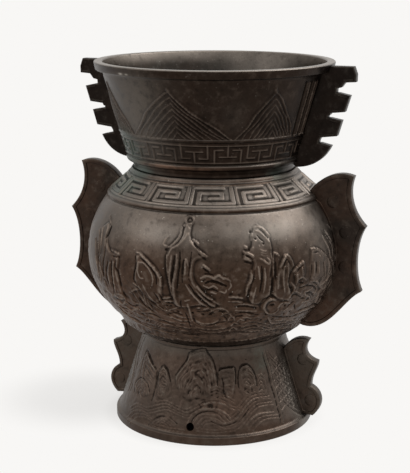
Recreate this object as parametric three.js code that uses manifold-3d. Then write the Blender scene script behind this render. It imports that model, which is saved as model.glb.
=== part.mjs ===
// Bronze baluster vase in the archaic manner: flared neck, globular belly and
// spreading foot, with three pairs of upright flanges on the left and right.
//
// The vase is a sectional casting. The neck drops a spigot into a collar in the
// shoulder, the belly drops a spigot into the foot, and a loose disc closes the
// belly's floor. The six flanges are cast first and stand with their roots in
// slots in the walls. Units are millimetres, +Z is up, the origin is under the
// middle of the foot, the flanges stand along X and the front looks along -Y.

import * as THREE from 'three';
import { mergeVertices } from 'three/addons/utils/BufferGeometryUtils.js';
import Module from 'manifold-3d';

const wasm = await Module();
wasm.setup();

// Driving dimensions
const HEIGHT = 300;
const FACETS = 36;            // flats round every turned wall
const WALL = 4;               // thickness of the cast walls
const GAP = 0.3;              // solder gap between touching castings

const LIP_RADIUS = 98;
const LIP_INNER = 91;
const LIP_UNDERSIDE = 289;    // height where the lip leaves the neck
const NECK_TOP_RADIUS = 90.4; // neck wall just under the lip
const NECK_FOOT_RADIUS = 71.5;
const NECK_FOOT = 225;        // neck wall just above its bottom roll
const NECK_FILLET = 244.4;    // raised line above the neck's fret band
const ROLL_RADIUS = 72.2;     // bottom roll of the neck
const ROLL_LEVEL = 222.3;
const ROLL_HALF = 2.5;

const WAIST_RADIUS = 66.4;    // the hollow under the roll
const WAIST = 213.5;          // seam between neck and belly
const SPIGOT_DEPTH = 12.5;
const THROAT_RADIUS = 59;     // clear way through the neck spigot

const BELLY_RADIUS = 105;
const BELLY_LEVEL = 143.5;    // height of the widest ring
const BELLY_RISE = 86.8;      // half axes of the two ellipses, above and below
const BELLY_FALL = 79.6;
const SHOULDER_LOW = 190;     // height where the belly meets the shoulder fillet
const BELLY_BASE = 92;        // height where the belly meets its base moulding
const SHOULDER_OUT = [84.6, 195.6];   // lower and upper edge of the shoulder's sloping band
const SHOULDER_IN = [70.2, 208.4];

const SEAM = 76.8;            // seam between belly and foot
const FOOT_TOP_RADIUS = 60.4;
const FOOT_TOP = 72.2;        // foot wall just under its top moulding
const FOOT_BASE_RADIUS = 80.4;
const FOOT_BASE = 8.2;        // foot wall just above the standing band
const BAND_RADIUS = 83.3;     // standing band
const BAND_INNER = 77.4;
const BAND_HEIGHT = 6.4;
const FOOT_SPIGOT = 56.2;     // outer radius of the belly's lower spigot
const FLOOR_LEVEL = 83.7;     // underside of the floor disc
const FLOOR_THICKNESS = 3;
const FLOOR_RADIUS = 57.9;
const VENT_RADIUS = 3.1;      // small hole low in the front of the foot
const VENT_LEVEL = 14.5;
const VENT_BEARING = -85;     // degrees round from +X

const FLANGE_THICKNESS = 8.4;
const TENON = 2.2;            // depth of a flange's root in the wall
const BORDER = 3.4;           // width of the raised edge round a flange's face
const SINK = 1.1;             // depth of the field inside that edge
const BOSS_RADIUS = 2.3;

const SKIN_ROOT = 1.4;        // how far raised ornament is rooted in its wall
const NECK_RELIEF = 0.8;
const FRET_RELIEF = 1;
const ROCK_RELIEF = 1.3;
const FOOT_RELIEF = 0.7;
const FRET_UNITS = 14;        // squared spirals round the shoulder
const FRET_START = -109;      // azimuth of the first one's left side

// Solids and meshes

const SLIVER = 0.04;          // faces narrower than this are merged with their neighbours

function toSolid(geometry) {
  const bare = new THREE.BufferGeometry();
  bare.setAttribute('position', geometry.getAttribute('position'));
  if (geometry.index) bare.setIndex(geometry.index);
  const merged = mergeVertices(bare, 1e-4);
  return new wasm.Manifold(new wasm.Mesh({
    numProp: 3,
    vertProperties: new Float32Array(merged.getAttribute('position').array),
    triVerts: new Uint32Array(merged.index.array),
  }));
}

function toGeometry(solid) {
  const mesh = solid.simplify(SLIVER).getMesh();
  const geometry = new THREE.BufferGeometry();
  geometry.setAttribute('position', new THREE.BufferAttribute(mesh.vertProperties, 3));
  geometry.setIndex(new THREE.BufferAttribute(mesh.triVerts, 1));
  geometry.computeVertexNormals();
  return geometry;
}

// A closed outline of [radius, height] points, turned round the Z axis.
function turned(profile) {
  const points = profile.map(([r, z]) => new THREE.Vector2(r, z));
  const onAxis = points[0].x === 0 && points.at(-1).x === 0;
  if (!onAxis) points.push(points[0].clone());
  if (!isCounterClockwise(profile)) points.reverse();
  const geometry = new THREE.LatheGeometry(points, FACETS);
  geometry.rotateX(Math.PI / 2);
  return toSolid(geometry);
}

// A flat plate with the given outline in the XZ plane, centred on Y = 0.
function plate(outline, thickness) {
  const shape = new THREE.Shape(outline.map(([x, z]) => new THREE.Vector2(x, z)));
  const geometry = new THREE.ExtrudeGeometry(shape, { depth: thickness, bevelEnabled: false });
  geometry.rotateX(Math.PI / 2);
  geometry.translate(0, thickness / 2, 0);
  return toSolid(geometry);
}

// Outlines

// Points along a circular arc, angles in degrees.
function arc(centre, radius, from, to, steps) {
  return Array.from({ length: steps + 1 }, (_, i) => {
    const angle = THREE.MathUtils.degToRad(from + (to - from) * i / steps);
    return [centre[0] + radius * Math.cos(angle), centre[1] + radius * Math.sin(angle)];
  });
}

// Points along a smooth curve with two handles, without its last point.
function curve(start, handleA, handleB, end, steps) {
  const bezier = new THREE.CubicBezierCurve(
    ...[start, handleA, handleB, end].map(([x, z]) => new THREE.Vector2(x, z)));
  return bezier.getPoints(steps).slice(0, -1).map((p) => [p.x, p.y]);
}

// The outline moved outwards by a distance, or inwards when it is negative.
function grow(outline, distance) {
  const count = outline.length;
  return outline.map((point, i) => {
    const before = new THREE.Vector2(...outline[(i + count - 1) % count]);
    const here = new THREE.Vector2(...point);
    const after = new THREE.Vector2(...outline[(i + 1) % count]);
    const arriving = here.clone().sub(before).normalize();
    const leaving = after.clone().sub(here).normalize();
    const normalA = new THREE.Vector2(arriving.y, -arriving.x);
    const normalB = new THREE.Vector2(leaving.y, -leaving.x);
    const mitre = normalA.clone().add(normalB).normalize();
    const stretch = Math.min(1 / Math.max(mitre.dot(normalB), 0.2), 2.4);
    const sign = isCounterClockwise(outline) ? 1 : -1;
    return [here.x + mitre.x * stretch * distance * sign, here.y + mitre.y * stretch * distance * sign];
  });
}

// The outline moved inwards. Points that crowd into a corner are dropped.
function inset(outline, distance) {
  const edges = outline.map((point, i) => new THREE.Line3(
    new THREE.Vector3(...point, 0), new THREE.Vector3(...outline[(i + 1) % outline.length], 0)));
  const nearest = (point) => Math.min(...edges.map((edge) => {
    const here = new THREE.Vector3(...point, 0);
    return edge.closestPointToPoint(here, true, new THREE.Vector3()).distanceTo(here);
  }));
  return grow(outline, -distance).filter((point) => nearest(point) > 0.97 * distance);
}

function isCounterClockwise(outline) {
  return THREE.ShapeUtils.area(outline.map(([x, y]) => new THREE.Vector2(x, y))) > 0;
}

// Wall radii at a height

const neckSlope = (NECK_TOP_RADIUS - NECK_FOOT_RADIUS) / (LIP_UNDERSIDE - NECK_FOOT);

function neckRadius(z) {
  return NECK_FOOT_RADIUS + (z - NECK_FOOT) * neckSlope;
}

function bellyRadius(z, inset = 0) {
  const halfAxis = (z > BELLY_LEVEL ? BELLY_RISE : BELLY_FALL) - inset;
  const along = (z - BELLY_LEVEL) / halfAxis;
  return (BELLY_RADIUS - inset) * Math.sqrt(1 - along * along);
}

function footRadius(z) {
  const down = (FOOT_TOP - z) / (FOOT_TOP - FOOT_BASE);
  return FOOT_TOP_RADIUS + (FOOT_BASE_RADIUS - FOOT_TOP_RADIUS) * Math.pow(Math.max(down, 0), 1.08);
}

// [radius(z), z] points at even heights.
function rings(radius, from, to, steps) {
  return Array.from({ length: steps + 1 }, (_, i) => {
    const z = from + (to - from) * i / steps;
    return [radius(z), z];
  });
}

// Flanges: outlines on the right side, roots sunk TENON deep in the wall

function neckFlangeOutline() {
  const root = (z) => neckRadius(z) - TENON;
  return [
    [LIP_RADIUS - TENON, 298.2],
    [116.2, 298.2], [118.4, 292], [118.2, 286.2], [109.6, 285.6],
    [106.6, 281.6], [103, 280.8], [102.8, 277.4],
    [104.6, 277.4], [113.8, 275.4], [109.8, 262.4], [98.6, 261.2],
    [97.6, 259.4], [96.4, 259], [96.2, 257.4],
    [98, 257.4], [107.6, 255.6], [103.8, 243], [90.8, 241.4],
    [89.4, 239], [89, 237],
    [91, 237],
    ...curve([99.4, 235], [94.5, 224.5], [86, 217.5], [72, 216.6], 6),
    [71.4, 216.6], [67.4, 219.2],
    [root(NECK_FOOT), NECK_FOOT],
    [root(LIP_UNDERSIDE - 1), LIP_UNDERSIDE - 1],
    [LIP_RADIUS - TENON, 292.6],
  ];
}

function bellyFlangeOutline() {
  const root = (z) => bellyRadius(z) - TENON;
  return [
    ...curve([82.4, 197.2], [88, 207], [104, 217.5], [119, 211.5], 6),
    ...curve([119, 211.5], [114.5, 200], [116, 184], [129.3, 171], 6),
    ...curve([129.3, 171], [120.3, 158], [120.3, 130], [126.7, 117.5], 6),
    ...curve([126.7, 117.5], [112, 110], [100, 77], [75, 86], 8),
    [74.4, 86.6],
    ...rings(root, BELLY_BASE, SHOULDER_LOW - 4, 8),
    [84.6, SHOULDER_LOW], [80.6, 196.4],
  ];
}

function footFlangeOutline() {
  const root = (z) => footRadius(z) - TENON;
  return [
    ...curve([63, 64.5], [69, 73.5], [78, 75.5], [84.6, 72.6], 6),
    ...curve([84.6, 72.6], [79.5, 66], [79.5, 57.5], [91.9, 54.6], 6),
    ...curve([91.9, 54.6], [92.2, 48], [86.4, 43], [86.3, 33], 5),
    ...curve([86.3, 33], [95.4, 29], [99, 17], [88.6, 7.4], 8),
    [88.6, 7.4],
    [FOOT_BASE_RADIUS + 1, 7.9],
    ...rings(root, FOOT_BASE + 1, 62.5, 5),
  ];
}

const flangeKinds = {
  neck: {
    outline: neckFlangeOutline(),
    bosses: [],
    fields: [],
  },
  belly: {
    outline: bellyFlangeOutline(),
    bosses: [[103.5, 200], [112.3, 175], [113, 147], [107.5, 122]],
    fields: [inset(bellyFlangeOutline(), BORDER)],
  },
  foot: {
    outline: footFlangeOutline(),
    bosses: [[79.5, 55.5], [85.6, 20.5]],
    fields: [inset(footFlangeOutline(), BORDER - 0.6)],
  },
};

// A flange: a plate with its field sunk on both faces and bosses left standing in it.
function flange(kind) {
  const { outline, bosses, fields } = flangeKinds[kind];
  let body = plate(outline, FLANGE_THICKNESS);
  for (const side of [-1, 1]) {
    for (const field of fields) {
      const cut = plate(field, 2 * SINK).translate([0, side * FLANGE_THICKNESS / 2, 0]);
      body = body.subtract(cut);
    }
    for (const [x, z] of bosses) {
      const disc = new THREE.CylinderGeometry(BOSS_RADIUS * 0.7, BOSS_RADIUS, SINK + 0.4, 8);
      if (side < 0) disc.rotateX(Math.PI);
      const height = side * (FLANGE_THICKNESS / 2 - SINK / 2 - 0.2);
      body = body.add(toSolid(disc).translate([x, height, z]));
    }
  }
  return body;
}

// The slots that the two flanges of a pair need in the wall.
function slotted(wall, kind) {
  const cutter = plate(grow(flangeKinds[kind].outline, GAP), FLANGE_THICKNESS + 2 * GAP);
  return wall.subtract(cutter).subtract(cutter.rotate([0, 0, 180]));
}

// Ornament: a skin over the wall, cut to the shapes that stand proud of it

// A turned skin that follows a wall: rooted in it and raised above it.
function skin(radius, from, to, steps, height) {
  return turned([
    ...rings((z) => radius(z) + height, from, to, steps),
    ...rings((z) => radius(z) - SKIN_ROOT, to, from, steps),
  ]);
}

// A straight bar between two points of a drawing, as a four-cornered outline.
function bar(start, end, width) {
  const a = new THREE.Vector2(...start);
  const b = new THREE.Vector2(...end);
  const along = b.clone().sub(a).setLength(width / 2);
  const across = new THREE.Vector2(along.y, -along.x);
  return [
    a.clone().sub(along).add(across), b.clone().add(along).add(across),
    b.clone().add(along).sub(across), a.clone().sub(along).sub(across),
  ].map((p) => [p.x, p.y]);
}

// Shapes drawn in the front view, cut out of a skin. The back repeats them, turned half round.
function proud(wallSkin, outlines) {
  const reach = BELLY_RADIUS + 10;
  const stamps = outlines.map((outline) => plate(outline, reach).translate([0, -reach / 2, 0]));
  const front = wallSkin.intersect(wasm.Manifold.union(stamps));
  return front.add(front.rotate([0, 0, 180]));
}

// A point of the neck or foot in the front view, from its azimuth and height.
function frontView(radius, azimuth, z) {
  return [radius(z) * Math.cos(THREE.MathUtils.degToRad(azimuth)), z];
}

// Three hills of nested chevrons: azimuths of both feet and the peak, and the peak's height.
const HILLS = [
  { left: -120, right: -61, peak: -92, top: 283 },
  { left: -58.5, right: -18.5, peak: -39, top: 282 },
  { left: -163, right: -123, peak: -143, top: 282 },
];
const CHEVRONS = 2;
const CHEVRON_WIDTH = 2.4;            // degrees
const CHEVRON_DROP = 4;               // mm from a chevron's peak to its inner peak
const PILASTER_EDGES = [18, 13.4];    // degrees to each side of a flange

function neckOrnament() {
  const base = NECK_FILLET + 1.2;
  const bars = [];
  for (const { left, right, peak, top } of HILLS) {
    for (let k = 0; k < CHEVRONS; k += 1) {
      const apex = top - (top - base) * k / CHEVRONS;
      const feet = [left, right].map((foot) => foot + ((left + right) / 2 - foot) * k / CHEVRONS);
      const hill = (drop, width) => [
        frontView(neckRadius, feet[0] + width, base), frontView(neckRadius, peak, apex - drop),
        frontView(neckRadius, feet[1] - width, base),
      ];
      bars.push([...hill(0, 0), ...hill(CHEVRON_DROP, CHEVRON_WIDTH).reverse()]);
    }
  }
  for (const edge of PILASTER_EDGES) {
    for (const azimuth of [-edge, edge - 180]) {
      bars.push(bar(frontView(neckRadius, azimuth, base), frontView(neckRadius, azimuth, 286), 1.6));
    }
  }
  return proud(skin(neckRadius, NECK_FILLET, LIP_UNDERSIDE - 1, 1, NECK_RELIEF), bars);
}

// Rocks that stand out of the sea, as outlines in the front view.
const ROCKS = {
  pinnacle: [[9, 185], [7.5, 175.5], [-0.5, 166], [-2.5, 158], [0.5, 136], [3, 120], [36, 121],
    [21, 144], [21, 156], [28, 160], [16, 175], [15.5, 185]],
  leaningArch: [[-29.5, 157.5], [-24, 159], [-9, 147.5], [-5, 140], [-7, 122], [-16, 121], [-30, 137.5]],
  stack: [[-68, 171.5], [-60.5, 176], [-59, 163], [-54.5, 156.5], [-46, 155], [-42.5, 117.5],
    [-57.5, 118], [-68, 126]],
  overhang: [[57.5, 180], [61, 181], [70, 172], [73.5, 154], [71, 127], [58, 123], [60.5, 155.5],
    [54.5, 157.5], [54, 163.5], [58.5, 167]],
  peaks: [[77, 149], [81, 158], [86, 147], [91, 151], [92, 138], [84, 121], [73, 127]],
  rightArch: [[94.3, 158.5], [97, 159], [103, 148.5], [104, 137.5], [101.5, 123.5], [94.5, 136.5]],
};

function rocks() {
  return proud(skin(bellyRadius, 114, 187, 5, ROCK_RELIEF), Object.values(ROCKS));
}

// One squared spiral of the shoulder: its bars from the outside in, as shares of the
// spiral's width and of the sloping band's width.
const SPIRAL = [[0.92, 0.12], [0.92, 0.84], [0.1, 0.84], [0.1, 0.36], [0.66, 0.36]];
const SPIRAL_BAR = 2.6;

function shoulderFret() {
  const unit = 360 / FRET_UNITS;
  const [outer, inner] = [SHOULDER_OUT[0], SHOULDER_IN[0]];
  const plan = ([across, down], start) => {
    const azimuth = THREE.MathUtils.degToRad(start + across * unit);
    const radius = inner + (outer - inner) * down;
    return [radius * Math.cos(azimuth), radius * Math.sin(azimuth)];
  };
  const bars = [];
  for (let k = 0; k < FRET_UNITS; k += 1) {
    const corners = SPIRAL.map((corner) => plan(corner, FRET_START + k * unit));
    corners.slice(1).forEach((end, i) => bars.push(bar(corners[i], end, SPIRAL_BAR)));
  }
  const slope = turned([
    [outer + 0.2, SHOULDER_OUT[1] - SKIN_ROOT], [outer + 0.2, SHOULDER_OUT[1] + FRET_RELIEF],
    [inner + 0.2, SHOULDER_IN[1] + FRET_RELIEF], [inner + 0.2, SHOULDER_IN[1] - SKIN_ROOT],
  ]);
  const upright = bars.map((outline) => plate(outline, 2 * HEIGHT).rotate([-90, 0, 0]));
  return slope.intersect(wasm.Manifold.union(upright));
}

// Hills on the foot, as outlines in the front view.
const FOOT_HILLS = {
  massif: [[-10, 50], [-5.5, 58.5], [1, 69], [15.5, 70], [19, 67], [23.5, 56], [26, 41], [17, 36],
    [0, 35], [-8.5, 44.5]],
};
const FOOT_PILASTER = 29.5;           // degrees to each side of a flange

function footOrnament() {
  const uprights = [-FOOT_PILASTER, FOOT_PILASTER - 180].map((azimuth) => bar(
    frontView(footRadius, azimuth, FOOT_BASE + 2), frontView(footRadius, azimuth, FOOT_TOP - 2), 1.6));
  const wallSkin = skin(footRadius, FOOT_BASE + 1, FOOT_TOP - 1, 3, FOOT_RELIEF);
  return proud(wallSkin, [...Object.values(FOOT_HILLS), ...uprights]);
}

// The three cast walls and the floor

function neckSection() {
  const seam = WAIST + GAP;
  const spigotRadius = WAIST_RADIUS - WALL;
  return turned([
    [spigotRadius, seam - SPIGOT_DEPTH],
    [spigotRadius, seam],
    [WAIST_RADIUS, seam],
    [WAIST_RADIUS + 0.3, seam + 2.4],
    [WAIST_RADIUS + 1.9, ROLL_LEVEL - ROLL_HALF],
    ...arc([ROLL_RADIUS - ROLL_HALF, ROLL_LEVEL], ROLL_HALF, -55, 70, 3),
    [NECK_FOOT_RADIUS, NECK_FOOT],
    [neckRadius(NECK_FILLET - 1.4), NECK_FILLET - 1.4],
    [neckRadius(NECK_FILLET) + 1, NECK_FILLET - 0.9],
    [neckRadius(NECK_FILLET) + 1, NECK_FILLET + 0.6],
    [neckRadius(NECK_FILLET + 1.4), NECK_FILLET + 1.4],
    [NECK_TOP_RADIUS, LIP_UNDERSIDE],
    [LIP_RADIUS - 3.4, 290.8],
    [LIP_RADIUS - 1.2, 293.2],
    [LIP_RADIUS, 299.2],
    [LIP_RADIUS - 0.7, HEIGHT],
    [LIP_INNER + 0.8, HEIGHT],
    [LIP_INNER, 299],
    [NECK_TOP_RADIUS - WALL, LIP_UNDERSIDE],
    [NECK_FOOT_RADIUS - WALL - 0.6, NECK_FOOT - 2],
    [THROAT_RADIUS, seam - 0.6],
    [THROAT_RADIUS, seam - SPIGOT_DEPTH],
  ]);
}

function bellySection() {
  const collarBore = WAIST_RADIUS - WALL + GAP;
  const spigotInner = FOOT_SPIGOT - WALL + 0.4;
  const rebate = FLOOR_LEVEL - GAP;
  return turned([
    [FOOT_SPIGOT, SEAM - 10.3],
    [FOOT_SPIGOT, SEAM],
    [62, SEAM],
    [63.2, SEAM + 1.6],
    [70.4, 80.8],
    [76.2, 85.2],
    ...rings(bellyRadius, BELLY_BASE, SHOULDER_LOW - 0.4, 9),
    [87, SHOULDER_LOW + 0.5],
    [88.2, 191.2],
    [88.5, 192.4],
    [87.4, 194.2],
    SHOULDER_OUT,
    SHOULDER_IN,
    [70.4, 209.8],
    [69.2, 210.6],
    [68.8, 212],
    [67.6, WAIST],
    [collarBore, WAIST],
    [collarBore, WAIST - SPIGOT_DEPTH - GAP],
    [collarBore + 3.6, WAIST - SPIGOT_DEPTH - GAP],
    [collarBore + 4.6, 204.2],
    [69.4, 203.4],
    [80.4, 192.6],
    ...rings((z) => bellyRadius(z, WALL), SHOULDER_LOW - 3, BELLY_BASE + 6, 6),
    [72.4, 90.2],
    [66, FLOOR_LEVEL + FLOOR_THICKNESS],
    [FLOOR_RADIUS + GAP, FLOOR_LEVEL + FLOOR_THICKNESS],
    [FLOOR_RADIUS + GAP, rebate],
    [spigotInner, rebate],
    [spigotInner, SEAM - 10.3],
  ]);
}

function footSection() {
  const top = SEAM - GAP;
  const bore = FOOT_SPIGOT + GAP;
  return turned([
    [bore, 65],
    [bore, top],
    [61.2, top],
    [62, 75.4],
    [61.6, 73.4],
    ...rings(footRadius, FOOT_TOP, FOOT_BASE, 5),
    [81.4, 7.4],
    [BAND_RADIUS, BAND_HEIGHT],
    [BAND_RADIUS, 0.6],
    [BAND_RADIUS - 0.6, 0],
    [BAND_INNER, 0],
    [BAND_INNER - 0.8, 1],
    ...rings((z) => footRadius(z) - WALL, FOOT_BASE, 62, 4),
  ]);
}

function vent() {
  const drill = new THREE.CylinderGeometry(VENT_RADIUS, VENT_RADIUS, 20, 12);
  drill.rotateZ(Math.PI / 2);
  drill.translate(footRadius(VENT_LEVEL), 0, VENT_LEVEL);
  drill.rotateZ(THREE.MathUtils.degToRad(VENT_BEARING));
  return toSolid(drill);
}

function floorPlate() {
  const top = FLOOR_LEVEL + FLOOR_THICKNESS;
  return turned([
    [0, FLOOR_LEVEL],
    [FLOOR_RADIUS, FLOOR_LEVEL],
    [FLOOR_RADIUS, top],
    [0, top],
  ]);
}

// Finishes and the assembly

const bronze = { color: 0x4a382c, roughness: 0.5, metalness: 0.85 };
const darkBronze = { color: 0x2c2521, roughness: 0.55, metalness: 0.8 };
const innerBronze = { color: 0x3a3833, roughness: 0.7, metalness: 0.6 };

function piece(name, solid, finish) {
  const mesh = new THREE.Mesh(toGeometry(solid), new THREE.MeshStandardMaterial(finish));
  mesh.name = name;
  return mesh;
}

const vase = new THREE.Group();
const neck = neckSection().add(neckOrnament());
const belly = bellySection().add(rocks()).add(shoulderFret());
const foot = footSection().add(footOrnament()).subtract(vent());
vase.add(piece('neck_section', slotted(neck, 'neck'), bronze));
vase.add(piece('belly_section', slotted(belly, 'belly'), bronze));
vase.add(piece('foot_section', slotted(foot, 'foot'), bronze));
vase.add(piece('floor_plate', floorPlate(), innerBronze));
for (const kind of Object.keys(flangeKinds)) {
  const right = piece(`${kind}_flange_right`, flange(kind), darkBronze);
  const left = piece(`${kind}_flange_left`, flange(kind), darkBronze);
  left.rotation.z = Math.PI;
  vase.add(right, left);
}

export default vase;
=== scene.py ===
# %% [markdown]
# # Bronze baluster vase
# The real vase is cast in three sections, neck, belly and foot, and six upright flanges are let
# into its sides. The measured model gives the sizes. This script gives the surface that the
# moulds gave the real one: fret bands, pointed hills, rocks, peaks and waves in low relief, and
# a dark brown skin that is paler on its edges, partly rubbed and partly a painted highlight.
# %% Load the measured model
import math

import bmesh
import bpy
import numpy as np
from mathutils import Matrix, Vector


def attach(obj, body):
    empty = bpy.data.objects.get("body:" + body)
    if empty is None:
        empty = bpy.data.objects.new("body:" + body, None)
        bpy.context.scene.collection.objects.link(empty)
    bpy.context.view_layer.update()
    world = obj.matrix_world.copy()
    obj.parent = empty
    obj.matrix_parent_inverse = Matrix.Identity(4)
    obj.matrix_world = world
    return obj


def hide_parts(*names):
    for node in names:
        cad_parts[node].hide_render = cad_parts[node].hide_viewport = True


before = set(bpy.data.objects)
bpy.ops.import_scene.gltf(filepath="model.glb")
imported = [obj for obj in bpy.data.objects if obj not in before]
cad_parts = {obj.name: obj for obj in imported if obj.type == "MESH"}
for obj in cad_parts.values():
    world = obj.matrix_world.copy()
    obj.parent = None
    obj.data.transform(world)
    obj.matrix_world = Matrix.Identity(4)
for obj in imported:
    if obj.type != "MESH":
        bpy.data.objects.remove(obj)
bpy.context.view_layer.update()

MM = 0.001

# %% [markdown]
# ## Camera
# The vase was photographed from a little above and from its right, about a metre away. The
# camera comes first, because the relief is placed by where it stands in that view. The rings of
# the lip, the shoulder and the foot gave the numbers: how round each ellipse is gives the pitch,
# and how fast they shrink downwards gives the distance.
# %% Camera
PHOTO_SIZE = (410, 473)
FOCAL_PIXELS = 1295
SENSOR = 36.0                # mm
CAMERA_DISTANCE = 1056       # mm from the vase's axis
CAMERA_LEVEL = 391           # mm above the floor
CAMERA_BEARING = math.radians(19.5)
CAMERA_PITCH = math.radians(12.7)
CAMERA_PAN = math.radians(0.42)

UP = Vector((0, 0, 1))
eye = Vector((CAMERA_DISTANCE * math.sin(CAMERA_BEARING), -CAMERA_DISTANCE * math.cos(CAMERA_BEARING),
              CAMERA_LEVEL))
towards_axis = Vector((-math.sin(CAMERA_BEARING), math.cos(CAMERA_BEARING), 0))
to_the_left = UP.cross(towards_axis)
level_view = math.cos(CAMERA_PAN) * towards_axis + math.sin(CAMERA_PAN) * to_the_left
view_axis = math.cos(CAMERA_PITCH) * level_view - math.sin(CAMERA_PITCH) * UP
view_right = view_axis.cross(UP).normalized()
view_up = view_right.cross(view_axis)

camera = bpy.data.objects.new("camera", bpy.data.cameras.new("camera"))
bpy.context.scene.collection.objects.link(camera)
bpy.context.scene.camera = camera
camera.data.lens = FOCAL_PIXELS * SENSOR / max(PHOTO_SIZE)
camera.data.sensor_width = SENSOR
camera.location = eye * MM
camera.rotation_euler = Matrix((view_right, view_up, -view_axis)).transposed().to_euler()
print("camera lens", round(camera.data.lens, 2), "mm")

# %% [markdown]
# ## Shader maths
# Shader nodes are clumsy to wire by hand. Two small classes let a finish be written as a formula:
# a Value is a socket that Python's operators understand, and a Finish adds any node with its
# settings first and its sockets second.
# %% Values and finishes
class Value:
    """A number that changes over a surface. Arithmetic on it adds Math nodes."""

    def __init__(self, finish, socket):
        self.finish = finish
        self.socket = socket

    def math(self, operation, first, second):
        return self.finish.node("Math", {"operation": operation}, {0: first, 1: second})[0]

    def __add__(self, other):
        return self.math("ADD", self, other)

    def __sub__(self, other):
        return self.math("SUBTRACT", self, other)

    def __mul__(self, other):
        return self.math("MULTIPLY", self, other)

    def __rsub__(self, other):
        return self.math("SUBTRACT", other, self)

    __radd__ = __add__
    __rmul__ = __mul__

    def clipped(self, low=0.0, high=1.0):
        """The value as a mask: 0 at low, 1 at high, with a soft step between."""
        return self.finish.node("MapRange", {"interpolation_type": "SMOOTHSTEP"},
                                {"Value": self, "From Min": low, "From Max": high})[0]


class Finish:
    """A material under construction."""

    def __init__(self, name, world=None):
        self.material = world or bpy.data.materials.new(name)
        self.material.use_nodes = True
        self.tree = self.material.node_tree
        self.tree.nodes.clear()

    def node(self, kind, settings=None, sockets=None):
        node = self.tree.nodes.new("ShaderNode" + kind)
        for name, value in (settings or {}).items():
            setattr(node, name, value)
        for name, value in (sockets or {}).items():
            if isinstance(value, Value):
                self.tree.links.new(value.socket, node.inputs[name])
            else:
                node.inputs[name].default_value = value
        return [Value(self, socket) for socket in node.outputs]

    def noise(self, size, detail):
        """Noise with features of about this size in mm, by the piece's own coordinates."""
        place = self.node("TexCoord")[3]
        return self.node("TexNoise", None,
                         {"Vector": place, "Scale": 1 / (size * MM), "Detail": detail, "Roughness": 0.6})[0]

    def attribute(self, name):
        return self.node("Attribute", {"attribute_name": name})[2]

    def mix(self, factor, first, second):
        """First colour where the factor is 0, second where it is 1."""
        return self.node("Mix", {"data_type": "RGBA"}, {0: factor, 6: first, 7: second})[2]

    def surface(self, shader, output="Material"):
        self.node("Output" + output, None, {"Surface": shader})
        return self.material


print("shader helpers ready")

# %% [markdown]
# ## Bronze
# Patinated bronze is metal under a thin dark skin, so its colour here is how much it reflects.
# The skin is dark brown. Faces that look up are greyer, partly from dust and handling and partly
# as a painted sheen, and the neck's left carries a grey film that is partly painted light.
# Recesses are nearly black, since nothing rubs them, and raised lines are paler, partly rubbed
# and partly a painted highlight on their crests. A little grey-green lies at the foot of the
# neck and in the shoulder's fret. The meshes carry these places as attributes: relief says how
# high a point stands above its neighbourhood, and film, dust, green, copper and bare metal are
# soft patches, of which film, dust and bare metal also carry painted sheen, painted highlights
# and painted light in shaded places. Noise makes clouds, mottling, grain and a few bare bright
# specks, and a slight unevenness of the casting.
# %% Bronze finishes
def rgb(red, green, blue):
    return (red, green, blue, 1.0)


# grey of dust, also used for painted sheen and painted light in shaded places
DUST_AND_PAINTED_LIGHT = rgb(0.175, 0.152, 0.132)
# grey film, also used for painted light on the neck's left and under the belly
FILM_AND_PAINTED_LIGHT = rgb(0.083, 0.067, 0.053)
GREEN_FILM = rgb(0.060, 0.084, 0.070)
COPPER = rgb(0.12, 0.064, 0.040)
WARM = rgb(0.075, 0.040, 0.026)
# pale bare metal of specks and nicks, also used for painted sheen and painted highlights
PALE_SPECK_AND_PAINTED_LIGHT = rgb(0.34, 0.31, 0.27)


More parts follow.
